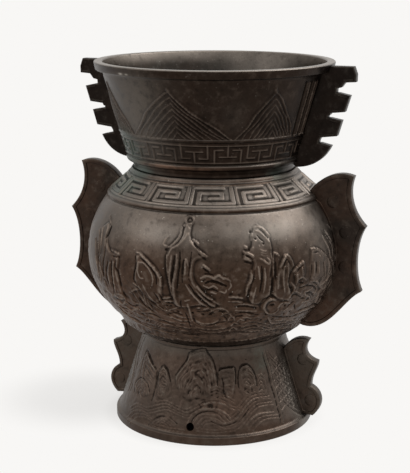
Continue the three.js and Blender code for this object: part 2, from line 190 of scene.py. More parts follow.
def bronze(name, skin, recess, rubbed_and_painted_glint, roughness, warmth, speckle, uneven=0.08, edge=1.0):
    """Patinated bronze, with the colours of its flat skin, its recesses and its paler edges, which are partly
    rubbed and partly a painted highlight.
    """
    finish = Finish(name)
    relief, green, copper, film, dust, bare_and_painted_light = (
        finish.attribute(key) for key in ("relief", "green", "copper", "film", "dust", "bare_and_painted_light"))
    clouds, mottle, grains, specks, waves = (
        finish.noise(size, detail) for size, detail in ((36, 4), (6, 6), (0.9, 3), (1.8, 1), (11, 2)))

    # warmer clouds in the skin, then dust and film, which also carry painted sheen and painted light
    colour = finish.mix((clouds - 0.5) * 3.0 + 0.4, skin, finish.mix(warmth, skin, WARM))
    colour = finish.mix((dust * 0.8 + (clouds - 0.5) * dust * 1.2).clipped(), colour, DUST_AND_PAINTED_LIGHT)
    colour = finish.mix(film + (mottle - 0.5) * film * 1.2, colour, FILM_AND_PAINTED_LIGHT)
    # mottling and grain
    colour = finish.mix((mottle - 0.5).clipped(0.0, 0.2) * 0.3, colour, rubbed_and_painted_glint)
    colour = finish.mix((0.5 - mottle).clipped(0.02, 0.22) * 0.45, colour, recess)
    colour = finish.mix((0.5 - grains).clipped(0.0, 0.25) * 0.35, colour, recess)
    # stains
    colour = finish.mix((green + (mottle - 0.5) * 0.9).clipped(0.2, 0.9) * 0.65, colour, GREEN_FILM)
    colour = finish.mix(copper * mottle.clipped(0.25, 0.6), colour, COPPER)
    # rubbed edges with a painted highlight on their crests, dark recesses, and bare specks and patches, some
    # of them painted sheen and light
    worn_and_glint = ((clouds - 0.5) * 3.0 + (mottle - 0.5) * 1.5 + 0.62).clipped() * 0.6 + 0.25
    colour = finish.mix((relief + (mottle - 0.5) * 0.5).clipped(0.2, 1.0) * worn_and_glint, colour, rubbed_and_painted_glint)
    colour = finish.mix((0 - relief).clipped(0.05, 0.8) * 0.8, colour, recess)
    colour = finish.mix(specks.clipped(0.74, 0.78) * speckle + bare_and_painted_light, colour, PALE_SPECK_AND_PAINTED_LIGHT)

    height = mottle * 0.03 + grains * 0.018 + waves * uneven
    bump = finish.node("Bump", None, {"Strength": 0.8, "Distance": MM, "Height": height})[0]
    rough = (mottle - 0.5) * 0.25 + roughness + (0 - relief).clipped() * 0.2 + film * 0.1
    shader = finish.node("BsdfPrincipled", None, {
        "Base Color": colour,
        "Metallic": 1.0 - film * 0.4,
        "Specular Tint": (edge, edge, edge, 1),
        "Roughness": rough,
        "Normal": bump,
    })[0]
    return finish.surface(shader)


print("bronze mixer ready, pale specks", PALE_SPECK_AND_PAINTED_LIGHT[:3])

# %% [markdown]
# The neck is the darkest section and the belly the most handled one, so each section has its own
# mixture. The neck's dark skin, darker still on its flanges, is partly painted shade, and the
# foot's paler skin is partly painted light where the belly shades it. The flanges are duller and
# more uneven, because files and cloths reach them badly. The inside was never finished: it is
# grey, matt and darker where it is seen at a flat angle.
# %% Finishes of the sections and flanges
# the neck's dark skin is partly painted shade
neck_bronze = bronze("neck_bronze", rgb(0.018, 0.0125, 0.0095), rgb(0.006, 0.0045, 0.0035),
                     rgb(0.080, 0.061, 0.048), roughness=0.38, warmth=0.12, speckle=0.12)
belly_bronze = bronze("belly_bronze", rgb(0.040, 0.026, 0.018), rgb(0.006, 0.0045, 0.0035),
                      rgb(0.180, 0.142, 0.115), roughness=0.42, warmth=0.4, speckle=0.6)
# the foot's paler skin is partly painted light
foot_bronze = bronze("foot_bronze", rgb(0.048, 0.034, 0.026), rgb(0.009, 0.007, 0.0055),
                     rgb(0.112, 0.090, 0.073), roughness=0.42, warmth=0.4, speckle=0.15)
flange_bronze = bronze("flange_bronze", rgb(0.024, 0.0182, 0.0148), rgb(0.007, 0.0055, 0.0048),
                       rgb(0.100, 0.080, 0.064), roughness=0.4, warmth=0.5, speckle=0.1, uneven=0.45)
# the neck flanges' darker skin is partly painted shade
dark_flange_bronze = bronze("dark_flange_bronze", rgb(0.011, 0.0088, 0.0075), rgb(0.005, 0.004, 0.0035),
                            rgb(0.055, 0.046, 0.038), roughness=0.42, warmth=0.08, speckle=0.05, uneven=0.3)
foot_flange_bronze = bronze("foot_flange_bronze", rgb(0.056, 0.044, 0.035), rgb(0.010, 0.0085, 0.007),
                            rgb(0.090, 0.080, 0.069), roughness=0.45, warmth=0.3, speckle=0.1, uneven=0.5)
inner_bronze = bronze("inner_bronze", rgb(0.017, 0.0155, 0.0135), rgb(0.014, 0.012, 0.010),
                      rgb(0.085, 0.078, 0.068), roughness=0.5, warmth=0.1, speckle=0.3, uneven=0.2,
                      edge=0.35)
print("finishes", [material.name for material in bpy.data.materials if material.name.endswith("bronze")])

# %% [markdown]
# ## Turned profiles
# The three sections are turned forms, so each is one closed outline of radius and height. The
# main walls are formulas, the mouldings a few points, and everything is resampled at an even
# pitch. A light smoothing rounds the corners as casting and polishing round them.
# %% Wall radii
NECK_TOP_RADIUS, NECK_TOP = 90.4, 289
NECK_FOOT_RADIUS, NECK_FOOT = 71.5, 225
NECK_FILLET = 244.4
WAIST_RADIUS, WAIST = 66.4, 213.5
BELLY_RADIUS, BELLY_LEVEL = 105, 143.5
BELLY_RISE, BELLY_FALL = 86.8, 79.6
SHOULDER_TOP, SHOULDER_LOW = (70.2, 208.4), (84.6, 195.6)
FOOT_TOP_RADIUS, FOOT_TOP = 60.4, 72.2
FOOT_BASE_RADIUS, FOOT_BASE = 80.4, 8.2
SEAM = 76.8
WALL = 4


def neck_radius(z):
    return NECK_FOOT_RADIUS + (z - NECK_FOOT) * (NECK_TOP_RADIUS - NECK_FOOT_RADIUS) / (NECK_TOP - NECK_FOOT)


def belly_radius(z, inwards=0.0):
    half_axis = np.where(z > BELLY_LEVEL, BELLY_RISE, BELLY_FALL) - inwards
    return (BELLY_RADIUS - inwards) * np.sqrt(np.maximum(1 - ((z - BELLY_LEVEL) / half_axis) ** 2, 0))


def foot_radius(z):
    down = np.clip((FOOT_TOP - z) / (FOOT_TOP - FOOT_BASE), 0, None)
    return FOOT_TOP_RADIUS + (FOOT_BASE_RADIUS - FOOT_TOP_RADIUS) * down ** 1.08


def rings(radius, start, end, steps, *extra):
    """Radius and height at even heights from start to end."""
    heights = np.linspace(start, end, steps + 1)
    return [(float(r), float(z)) for r, z in zip(radius(heights, *extra), heights)]


def arc(centre, radius, start, end, steps):
    angles = np.radians(np.linspace(start, end, steps + 1))
    return [(centre[0] + radius * math.cos(a), centre[1] + radius * math.sin(a)) for a in angles]


print("neck, belly and foot radii", neck_radius(256), round(float(belly_radius(120)), 1),
      round(float(foot_radius(40)), 1))

# %% [markdown]
# Each outline runs down the outside from the section's top, and comes back up the plain inside.
# Its points are radius and height in mm, and together they enclose the metal of the wall.
# %% Outlines of the three sections
neck_outside = [
    (91, 299), (91.8, 300), (97.3, 300), (98, 299.2), (97.4, 296), (96.9, 293.7), (96.2, 293.1),
    (91.9, 292.5),
    (neck_radius(290.6), 290.6),
    (neck_radius(NECK_FILLET + 1.4), NECK_FILLET + 1.4),
    (neck_radius(NECK_FILLET) + 1, NECK_FILLET + 0.6),
    (neck_radius(NECK_FILLET) + 1, NECK_FILLET - 0.9),
    (neck_radius(NECK_FILLET - 1.4), NECK_FILLET - 1.4),
    (NECK_FOOT_RADIUS, NECK_FOOT),
    *arc((69.7, 222.3), 2.5, 70, -55, 8),
    (68.3, 219.8), (66.7, 216.2), (WAIST_RADIUS, WAIST + 0.3),
]
neck_inside = [
    (62.4, WAIST + 0.3), (62.4, 201.3), (59, 201.3), (59, 213.2), (66.9, 223), (86.4, 289),
]

belly_outside = [
    (67.6, WAIST), (68.8, 212), (69.2, 210.6), (70.4, 209.8), SHOULDER_TOP, SHOULDER_LOW,
    (87.4, 194.2), (88.5, 192.4), (88.2, 191.2), (87, 190.5),
    *rings(belly_radius, 189.6, 92, 60),
    (76.2, 85.2), (70.4, 80.8), (63.2, 78.4), (62, SEAM),
]
belly_inside = [
    (56.2, SEAM), (56.2, 66.5), (52.6, 66.5), (52.6, 83.4), (58.2, 83.4), (58.2, 86.7), (66, 86.7),
    (72.4, 90.2),
    *rings(belly_radius, 98, 187, 12, WALL),
    (80.4, 192.6), (69.4, 203.4), (67.3, 204.2), (66.3, 200.7), (62.7, 200.7), (62.7, WAIST),
]

foot_outside = [
    (56.5, SEAM - 0.3), (61.2, SEAM - 0.3), (62, 75.4), (61.6, 73.4),
    *rings(foot_radius, FOOT_TOP, FOOT_BASE, 20),
    (81.4, 7.4), (83.3, 6.4), (83.3, 0.6), (82.7, 0),
]
foot_inside = [
    (77.4, 0), (76.6, 1),
    *[(r - WALL, z) for r, z in rings(foot_radius, FOOT_BASE, 62, 14)],
    (56.5, 65),
]
print("outline points", len(neck_outside), len(belly_outside), len(foot_outside))

# %% [markdown]
# ## The relief canvas
# On the real vase the ornament stood in the mould, so it is part of the wall. Displacing real
# geometry is the honest way: the mesh keeps the carving in any renderer. The heights are painted
# on a canvas with one row per step down the wall and one column per step round it. It covers
# half a turn, because the back repeats the front. Ridges, grooves and mounds are all distances
# to drawn lines, measured in real millimetres.
# %% Canvas
CANVAS_COLUMNS = 1200        # in half a turn
CANVAS_PITCH = 0.28          # mm between rows
FINE_STEP = 0.1              # mm between the points of a smoothed outline
SMOOTHING = 0.5              # mm of the outline that the smoothing blends
SOFTENING = 0.2              # mm over which the finished relief is softened
SURROUNDINGS = 1.7           # mm round a point that its height is compared with
FULL_RELIEF = 0.5            # mm above its surroundings that count as fully raised
TINY = 1e-9                  # stands in for a zero that something is divided by
WIDTH_WAVER, HEIGHT_WAVER = 0.22, 0.25       # how much a hand-drawn line varies
LUMP_FADE = 6                # mm over which uneven modelling fades out


def soft_step(values, low, high):
    """0 at low, 1 at high, and a smooth rise between."""
    share = np.clip((values - low) / (high - low), 0, 1)
    return share * share * (3 - 2 * share)


def nearest_on(a, b, across, along, radius):
    """Where on the line from a to b the canvas points come nearest, from 0 to 1, and how near."""
    ax, bx = (math.radians(p[0]) * radius for p in (a, b))
    dx, dy = bx - ax, b[1] - a[1]
    share = ((across - ax) * dx + (along - a[1]) * dy) / max(dx * dx + dy * dy, TINY)
    share = np.clip(share, 0, 1)
    return share, np.hypot(across - ax - share * dx, along - a[1] - share * dy)


def hand_waver(across, along):
    """Slow waves between -1 and 1 over the canvas, by which a hand-drawn line varies."""
    return np.sin(across * 1.7 + 2 * np.sin(along * 0.9)) * np.sin(along * 1.5)


class Wall:
    """A turned wall's outside: even steps down its length, with a canvas of relief heights."""

    def __init__(self, name, outside):
        self.name = name
        corners = np.array(outside, float)
        lengths = np.concatenate([[0], np.cumsum(np.hypot(*np.diff(corners, axis=0).T))])
        self.length = lengths[-1]
        self.fine = np.arange(0, self.length, FINE_STEP)
        kernel = np.hanning(2 * int(SMOOTHING / FINE_STEP) + 3)
        kernel /= kernel.sum()
        reach = len(kernel) // 2
        along = [np.interp(self.fine, lengths, values) for values in corners.T]
        padded = [np.pad(values, reach, mode="reflect", reflect_type="odd") for values in along]
        self.fine_radius, self.fine_height = (np.convolve(values, kernel, mode="valid") for values in padded)
        self.rows = np.arange(0, self.length, CANVAS_PITCH)
        self.row_radius = np.interp(self.rows, self.fine, self.fine_radius)
        self.mounds = np.zeros((len(self.rows), CANVAS_COLUMNS))
        self.ridges = self.mounds.copy()
        self.grooves = self.mounds.copy()

    def down(self, z):
        """Distance down the wall at a height. The wall falls all the way below its lip."""
        start = int(np.argmax(self.fine_height))
        return np.interp(-np.asarray(z, float), -self.fine_height[start:], self.fine[start:])

    def window(self, points, margin):
        """The canvas rows and columns near some (azimuth, distance) points."""
        (west, top), (east, low) = points.min(0), points.max(0)
        middle = np.interp((top + low) / 2, self.rows, self.row_radius)
        rows = np.arange(max(int((top - margin) / CANVAS_PITCH), 0),
                         min(int((low + margin) / CANVAS_PITCH) + 2, len(self.rows)))
        step = 180 / CANVAS_COLUMNS
        wide = math.degrees(margin / middle)
        columns = np.arange(int((west - wide) // step), int((east + wide) // step) + 2)
        across = np.radians(columns * step) * middle
        return rows, columns % CANVAS_COLUMNS, across[None, :], self.rows[rows][:, None], middle

    def stroke(self, layer, points, width, height, taper=0.0, flat=1.0):
        """A line along the points: round across, or flat-topped. Its ends thin out by the taper.

        A tapered line is drawn by hand, so its width and height vary a little on the way."""
        points = np.asarray(points, float)
        share = np.linspace(0, 1, len(points))
        for k, (a, b) in enumerate(zip(points, points[1:])):
            rows, columns, across, along, radius = self.window(np.array([a, b]), width)
            t, distance = nearest_on(a, b, across, along, radius)
            middle = np.sin(np.pi * np.clip(share[k] + t * (share[k + 1] - share[k]), 0, 1))
            uneven = hand_waver(across, along) if taper else 0
            half = width / 2 * (1 - taper + taper * middle) * (1 + WIDTH_WAVER * uneven)
            shape = np.clip(flat * (1 - (distance / half) ** 2), 0, 1) * (1 - taper / 2 + taper / 2 * middle)
            shape = shape * (1 + HEIGHT_WAVER * uneven)
            here = np.ix_(rows, columns)
            layer[here] = np.maximum(layer[here], height * shape)

    def ridge(self, points, width, height, taper=0.0, flat=1.0):
        self.stroke(self.ridges, points, width, height, taper, flat)

    def groove(self, points, width, depth, taper=0.0, flat=1.0):
        self.stroke(self.grooves, points, width, depth, taper, flat)

    def mound(self, outline, height, soft):
        """A raised area inside a closed outline, rising over its soft border."""
        outline = np.asarray(outline, float)
        rows, columns, across, along, radius = self.window(outline, 0.5)
        inside = np.zeros((len(rows), len(columns)), bool)
        nearest = np.full(inside.shape, np.inf)
        for a, b in zip(outline, np.roll(outline, -1, axis=0)):
            ax, bx = (math.radians(p[0]) * radius for p in (a, b))
            crosses = (a[1] > along) != (b[1] > along)
            inside ^= crosses & (across < ax + (along - a[1]) / ((b[1] - a[1]) or TINY) * (bx - ax))
            nearest = np.minimum(nearest, nearest_on(a, b, across, along, radius)[1])
        shape = height * np.where(inside, soft_step(nearest, 0, soft), 0)
        here = np.ix_(rows, columns)
        self.mounds[here] = np.maximum(self.mounds[here], shape)

    def lumps(self, top, low, size, height, seed, azimuth=None, spread=1.0):
        """Uneven modelling between two heights, as wax has under the fingers.

        With an azimuth it stays within its spread in degrees."""
        noise = np.random.default_rng(seed).standard_normal(self.mounds.shape)
        noise = self.blurred(noise, size)
        level = np.interp(self.rows, self.fine, self.fine_height)
        band = np.clip(np.minimum(top - level, level - low) / LUMP_FADE, 0, 1)[:, None]
        if azimuth is not None:
            columns = np.arange(CANVAS_COLUMNS) / CANVAS_COLUMNS * 180
            off = (columns - azimuth + 90) % 180 - 90
            band = band * np.exp(-(off / spread) ** 2)
        self.mounds += band * height * noise / noise.std()

    def blurred(self, heights, radius):
        """The heights smoothed over a radius in mm, round the wall without a seam."""
        reach = int(4 * radius / CANVAS_PITCH)
        padded = np.pad(heights, ((reach, reach), (0, 0)), mode="edge")
        down, across = np.meshgrid(np.fft.fftfreq(padded.shape[0], CANVAS_PITCH),
                                   np.fft.rfftfreq(CANVAS_COLUMNS,
                                                   math.pi * self.row_radius.mean() / CANVAS_COLUMNS),
                                   indexing="ij")
        soft = np.exp(-2 * (math.pi * radius) ** 2 * (down ** 2 + across ** 2))
        result = np.fft.irfft2(np.fft.rfft2(padded) * soft, s=padded.shape)
        return result[reach:-reach]

    def finish_canvas(self):
        """Adds up the layers and measures how far each point stands out of its surroundings."""
        raw = self.mounds + self.ridges - self.grooves
        self.height = self.blurred(raw, SOFTENING)
        self.relief = np.clip((self.height - self.blurred(raw, SURROUNDINGS)) / FULL_RELIEF, -1, 1)

    def sample(self, image, azimuth, distance):
        """The canvas's value at azimuths in degrees and distances down the wall."""
        column = (azimuth % 180) / 180 * CANVAS_COLUMNS
        row = np.clip(distance / CANVAS_PITCH, 0, len(self.rows) - 1.001)
        c, r = np.floor(column).astype(int), np.floor(row).astype(int)
        u, v = column - c, row - r
        c, after = c % CANVAS_COLUMNS, (c + 1) % CANVAS_COLUMNS
        upper = image[r, c] * (1 - u) + image[r, after] * u
        lower = image[r + 1, c] * (1 - u) + image[r + 1, after] * u
        return upper * (1 - v) + lower * v


neck = Wall("neck", neck_outside)
belly = Wall("belly", belly_outside)
foot = Wall("foot", foot_outside)
for wall in (neck, belly, foot):
    print(wall.name, "wall", round(wall.length), "mm long, canvas rows", len(wall.rows))

# %% [markdown]
# ## Drawing on the wall
# Bands of fretwork are drawn by formula, in azimuth and height. The rocks and waves are free
# drawing: their lines are named lists of points, placed in the photograph's frame and
# thrown onto the turned wall along the camera's rays. A smooth curve through the points gives
# them their flow.
# %% Drawing helpers
RAY_STEPS = 1400             # tries along each ray, from before the vase to beyond its axis


def flowing(points, steps=5):
    """A smooth curve through a few points."""
    p = np.asarray(points, float)
    if len(p) < 3:
        return p
    p = np.vstack([2 * p[0] - p[1], p, 2 * p[-1] - p[-2]])
    t = np.linspace(0, 1, steps, endpoint=False)[:, None]
    spans = [0.5 * (2 * b + (c - a) * t + (2 * a - 5 * b + 4 * c - d) * t ** 2
                    + (3 * b - a - 3 * c + d) * t ** 3)
             for a, b, c, d in zip(p, p[1:], p[2:], p[3:])]
    return np.vstack(spans + [p[-2:-1]])


def on_wall(wall, radius, pixels, shift=0.0):
    """Azimuth and distance down the wall of points in the photograph."""
    pixels = np.asarray(pixels, float)
    across = (pixels[:, 0] + shift - PHOTO_SIZE[0] / 2) / FOCAL_PIXELS
    down = (pixels[:, 1] - PHOTO_SIZE[1] / 2) / FOCAL_PIXELS
    rays = (np.array(view_axis)[None, :] + across[:, None] * np.array(view_right)
            - down[:, None] * np.array(view_up))
    reach = np.linspace(CAMERA_DISTANCE - 180, CAMERA_DISTANCE + 100, RAY_STEPS)
    path = np.array(eye) + rays[:, None, :] * reach[None, :, None]
    gap = np.hypot(path[..., 0], path[..., 1]) - radius(path[..., 2])
    hit = np.where((gap < 0).any(1), np.argmax(gap < 0, axis=1), np.argmin(gap, axis=1))
    found = path[np.arange(len(pixels)), hit]
    azimuth = np.degrees(np.arctan2(found[:, 1], found[:, 0]))
    return np.column_stack([azimuth, wall.down(found[:, 2])])


def at(wall, points):
    """Azimuth and distance down the wall of (azimuth, height) points."""
    points = np.asarray(points, float)
    return np.column_stack([points[:, 0], wall.down(points[:, 1])])


def round_the_wall(level):
    """Points at one level across the whole canvas."""
    return [(azimuth, level) for azimuth in range(-180, 1, 5)]


print("a point at the photograph's middle lies at", on_wall(belly, belly_radius, [(205, 236)]).round(1))

# %% [markdown]
# ## Neck ornament
# Three tall pointed hills stand on the raised line on each face, each filled with nested lines
# that waver a little. One formula draws a slope, and a loop shrinks it towards the hill's foot.
# Beside each flange a flat pilaster is marked off by upright lines.
# %% Hills and pilasters
NECK_HILLS = [               # left foot, right foot, apex azimuth, apex height, lines, bend of both slopes
    (-122, -60, -93.5, 283, 8, 0.82, 1.3),
    (-58, -20, -38.5, 282, 7, 0.95, 0.8),
    (-163, -124, -144, 282, 7, 1.1, 1.1),
]
HILL_FOOT = NECK_FILLET + 1.2
HILL_EDGE, HILL_LINE = (2.4, 0.9), (1.7, 0.82)       # width and height in mm
HILL_TAPER = 0.3
APEX_DOT = (3.6, 0.8)


def slope(apex, landing, bend, waver, phase):
    """One slope of a hill from its apex to its foot. It wavers a little on its way down."""
    t = np.linspace(0, 1, 18)
    azimuth = apex[0] + (landing - apex[0]) * t ** bend + waver * np.sin(t * 11 + phase) * t
    return np.column_stack([azimuth, apex[1] + (HILL_FOOT - apex[1]) * t])


for left_foot, right_foot, apex_azimuth, apex_height, count, left_bend, right_bend in NECK_HILLS:
    middle_foot = apex_azimuth + 3
    for k in range(count):
        inward = k / count
        apex = (apex_azimuth + 2.5 * inward, apex_height - (apex_height - HILL_FOOT) * inward * 0.97)
        for foot_azimuth, bend in ((left_foot, left_bend), (right_foot, right_bend)):
            landing = foot_azimuth + (middle_foot - foot_azimuth) * inward
            straighter = bend + (1 - bend) * inward
            line = slope(apex, landing, straighter, 0.9 * (1 - inward), k * 1.7)
            neck.ridge(at(neck, line), *(HILL_LINE if k else HILL_EDGE), HILL_TAPER)
    tip = [(apex_azimuth - 0.6, apex_height + 1.8), (apex_azimuth, apex_height)]
    neck.ridge(at(neck, tip), *APEX_DOT)

PILASTER_EDGE = 18           # degrees from the flange
PILASTER_TOP = 286.5
PILASTER_RIDGES, PILASTER_GROOVES = (3.0, 8.6), (0, 5.8, 11.2)       # degrees inwards from the edge
for side in (1, -1):
    for layer, places, width, height, taper in ((neck.ridges, PILASTER_RIDGES, 2.4, 1.0, 0.1),
                                                (neck.grooves, PILASTER_GROOVES, 3.2, 1.4, 0.0)):
        for inward in places:
            azimuth = side * (PILASTER_EDGE - inward)
            upright = at(neck, [(azimuth, PILASTER_TOP), (azimuth, HILL_FOOT)])
            neck.stroke(layer, upright, width, height, taper)
print("hills", len(NECK_HILLS), "on each face")

# %% [markdown]
# Below the hills runs a fret of raised lines: standing and hanging T shapes with hooks between
# them. One T is a short list of corners, and every second one is the same list upside down.
# %% Neck fret
NECK_FRET_LOW, NECK_FRET_HIGH = 226.6, 241.2
FRET_STEP = 20               # degrees from one T to the next
FIRST_T = -162.5
FRET_COUNT = 9               # in half a turn
FRET_BAR, FRET_BORDER = (1.8, 0.72), (1.6, 0.9)      # width and height in mm
STANDING_T = [               # degrees beside the T's stem, and shares of the band's height
    [(0, 0.0), (0, 0.64)], [(-5, 0.64), (5, 0.64)],
    [(-8, 1.0), (-8, 0.26), (-3, 0.26)], [(8, 1.0), (8, 0.26), (3, 0.26)],
]
for k in range(FRET_COUNT):
    for line in STANDING_T:
        upright = line if k % 2 == 0 else [(side, 1 - share) for side, share in line]
        corners = [(FIRST_T + k * FRET_STEP + side, NECK_FRET_LOW + share * (NECK_FRET_HIGH - NECK_FRET_LOW))
                   for side, share in upright]
        neck.ridge(at(neck, corners), *FRET_BAR, flat=1.6)
for level in (NECK_FRET_HIGH - 0.4, NECK_FRET_LOW + 0.3):
    neck.ridge(at(neck, round_the_wall(level)), *FRET_BORDER)
neck.lumps(top=289, low=245, size=4.0, height=0.05, seed=1)
neck.finish_canvas()
print("neck relief from", round(neck.height.min(), 2), "to", round(neck.height.max(), 2), "mm")

# %% [markdown]
# ## Shoulder fret
# Seven squared spirals fill half of the sloping shoulder. Each is one wide flat bar that winds
# inwards, so that only narrow dark grooves are left between its turns.
# %% Shoulder fret
FRET_UNITS = 7               # in half a turn
FRET_UNIT = 180 / FRET_UNITS
SHOULDER_START = -109
SPIRAL_BAR, FRAME_BAR = 3.7, 2.6
FRET_HEIGHT = 0.95
SPIRAL = [(0.90, 0.08), (0.90, 0.86), (0.16, 0.86), (0.16, 0.34), (0.66, 0.34), (0.66, 0.60), (0.42, 0.60)]
SHOULDER_BARS = [[(0, 0.08), (0.72, 0.08)], [(0.0, 0.0), (0.0, 1.0)]]
top_down, low_down = belly.down(SHOULDER_TOP[1]), belly.down(SHOULDER_LOW[1])
for unit in range(FRET_UNITS):
    for line, width in ((SPIRAL, SPIRAL_BAR), *((bar, FRAME_BAR) for bar in SHOULDER_BARS)):
        corners = [(SHOULDER_START + (unit + u) * FRET_UNIT, top_down + v * (low_down - top_down))
                   for u, v in line]
        belly.ridge(corners, width, FRET_HEIGHT, flat=3.0)
for share, width in ((-0.02, 1.8), (1.02, 2.2)):
    belly.ridge(round_the_wall(top_down + share * (low_down - top_down)), width, 1.0)
print("spirals round the shoulder", 2 * FRET_UNITS)

# %% [markdown]
# ## How the carving is drawn
# Rocks stand out of a sea round the belly, and hills out of waves round the foot. A modeller
# lays strips of wax for what stands up and cuts what lies deep, so the drawing has five marks:
# broad, raised and fine strips, and cuts and deep cuts. Each group below is one rock or wave,
# with its lines in the photograph's frame. A line of one point is a dot.
# %% Marks
MARKS = {                    # layer, width, height and taper of each kind of line
    "broad": ("ridge", 2.7, 1.1, 0.35),
    "raised": ("ridge", 1.9, 0.9, 0.35),
    "fine": ("ridge", 1.5, 0.65, 0.3),
    "cut": ("groove", 1.7, 0.85, 0.35),
    "deep": ("groove", 2.6, 1.4, 0.3),
}
DOT_LENGTH = 0.4             # px


def draw(wall, radius, groups, shift=0.0, ridges=1.0, grooves=1.0, widths=1.0):
    """Draws every group of lines on a wall."""
    for lines in groups.values():
        for kind, strokes in lines.items():
            layer, width, height, taper = MARKS[kind]
            for points in strokes:
                if len(points) == 1:
                    points = [points[0], (points[0][0] + DOT_LENGTH, points[0][1])]
                placed = on_wall(wall, radius, flowing(points), shift)
                if layer == "ridge":
                    wall.ridge(placed, width * widths, height * ridges, taper)
                else:
                    wall.groove(placed, width * widths, height * grooves, taper)


def ring(x, y, size, squash=0.8):
    """A small closed curl."""
    turn = np.radians(np.arange(0, 361, 45))
    return [(x + size * math.cos(a), y + size * squash * math.sin(a)) for a in turn]


def stepped(line, across, down, count):
    """The same line again and again, moved a little each time."""
    return [[(x + k * across, y + k * down) for x, y in line] for k in range(count)]


print("marks", list(MARKS))

# %% [markdown]
# ## Rocks on the belly
# Each rock first gets its body: a closed outline, filled with a mound that rises over a soft
# border. On the real vase the bodies are modelled in wax before any line is cut into them.
# %% Bodies of the rocks
BELLY_SHIFT = 4.5            # the real belly leans this many pixels to the left of the camera's axis
BELLY_BODIES = {
    "pinnacle": ([(181, 222), (176.5, 235), (165, 247), (161.5, 256), (162, 270), (165, 287), (169, 303),
                  (178, 308), (196, 306), (213, 306), (200, 292), (190, 278), (191, 262), (201, 257.5),
                  (193, 246), (187, 236), (189, 222)], 1.2),
    "leaning arch": ([(131, 254.5), (137, 253.5), (145, 261), (153, 271), (157.5, 281), (157.5, 300),
                      (148, 302), (138, 292), (130, 280), (130.5, 265)], 1.0),
    "stack": ([(99, 226), (106, 222), (104, 240), (107, 250), (114.5, 254), (115, 262), (114, 273),
               (118, 288), (121, 300), (108, 295), (98, 283), (96, 262), (97, 245)], 1.2),
    "overhanging rock": ([(248, 228), (253, 226.3), (259, 229.5), (265.5, 238), (266.5, 250), (268, 262),
                          (266, 277), (264.5, 296), (255, 304), (245, 303), (243, 290), (246.5, 272),
                          (248, 262), (239, 260), (238.5, 252), (246, 247), (246.5, 236)], 1.2),
    "peak": ([(274, 268), (276, 261), (280.7, 255.3), (285, 258), (289, 266), (285.5, 274), (286, 287),
              (287, 300), (275, 300), (268, 296), (268.5, 280)], 1.0),
    "small peak": ([(288.8, 271.5), (293, 266.5), (298, 261.5), (300.5, 263), (301, 274), (295, 280),
                    (290, 284)], 0.9),
    "right arch": ([(305.5, 250), (310.5, 248), (317, 251), (323, 257), (327, 268), (325, 283), (317, 290),
                    (311, 283), (304.5, 278), (305, 262)], 1.0),
    "bowl": ([(189, 321), (197, 317.5), (212, 317.5), (215, 321), (205, 326), (196, 326)], 0.7),
    "curl": ([(254.6, 306), (258, 300.7), (263.5, 296.6), (269, 297.5), (272, 299.6), (266, 302),
              (262, 307), (264, 313), (258, 314)], 0.9),
}
BODY_BORDER = 2.2            # mm over which a body rises
for outline, height in BELLY_BODIES.values():
    belly.mound(on_wall(belly, belly_radius, flowing(outline), BELLY_SHIFT), height, BODY_BORDER)
print("rock bodies", len(BELLY_BODIES))

# %% [markdown]
# At the left a tall stack stands beside a leaning arch. Raised strips are their lit edges, and
# the cuts beside them give each edge its shadow.
# %% Left-hand rocks
LEFT_ROCKS = {
    "stack": {
        "broad": [[(107.4, 249.7), (113.2, 253), (115.7, 254.7)]],
        "raised": [[(105.7, 215.7), (106.6, 223.2)],
                   [(99.9, 226.5), (98.7, 236.4), (97.4, 248), (96.6, 260.5), (97.4, 272.9), (98.3, 284.5)],
                   [(106.4, 262), (105.6, 273), (107.8, 286)], [(110.3, 262), (110, 273), (112.4, 290)]],
        "cut": [[(102.8, 239.8), (101.6, 253), (99.9, 264.6), (100.8, 277), (103.2, 286.2)],
                [(109, 255.8), (114.9, 257.2)],
                [(112.4, 260.5), (111.5, 266.3), (114, 272.9), (116.5, 285.4)],
                [(108.2, 260.5), (108.2, 272.9), (109.9, 285.4), (110.7, 293.6)],
                [(104.9, 261.3), (102.8, 272.9), (105.7, 282.9)]],
        "deep": [[(107, 226.5), (104.9, 231.5), (102.4, 237.7)]],
    },
    "leaning arch": {
        "broad": [[(132.3, 252.2), (136.4, 253.8), (143, 260.5), (149.5, 267.3), (153.2, 272.4), (156.5, 279),
                   (156.9, 285.6)]],
        "raised": [[(134.8, 262.1), (140, 262.9), (144.4, 267.3), (147.3, 272.4), (149.2, 278.3),
                    (148.4, 284.9)],
                   [(134.8, 262.1), (133.9, 269.6), (136.4, 277), (139.7, 277.9)],
                   [(129, 282.9), (133.1, 285.4), (136.4, 287.8)],
                   [(125, 292.1), (130.6, 289.6), (136.7, 288.1)], [(127.3, 292.7)],
                   [(138.9, 292), (143, 304.4)], [(142.2, 296.6), (145.9, 306.2)]],
        "cut": [[(131.4, 256.3), (131.9, 264.6), (129.8, 272.9), (129, 279.5)],
                [(136.5, 258), (142.5, 263.6), (148, 269.8), (151.8, 276), (152.6, 284)],
                [(150, 291.6), (153.1, 297.2), (155.6, 302.3)], [(155.1, 293.2), (157.7, 299.8)],
                [(142.9, 304.9), (145.9, 309.5)], [(145.9, 304.4), (149.5, 309.5)]],
    },
}
draw(belly, belly_radius, LEFT_ROCKS, BELLY_SHIFT)
print("left-hand groups", len(LEFT_ROCKS))

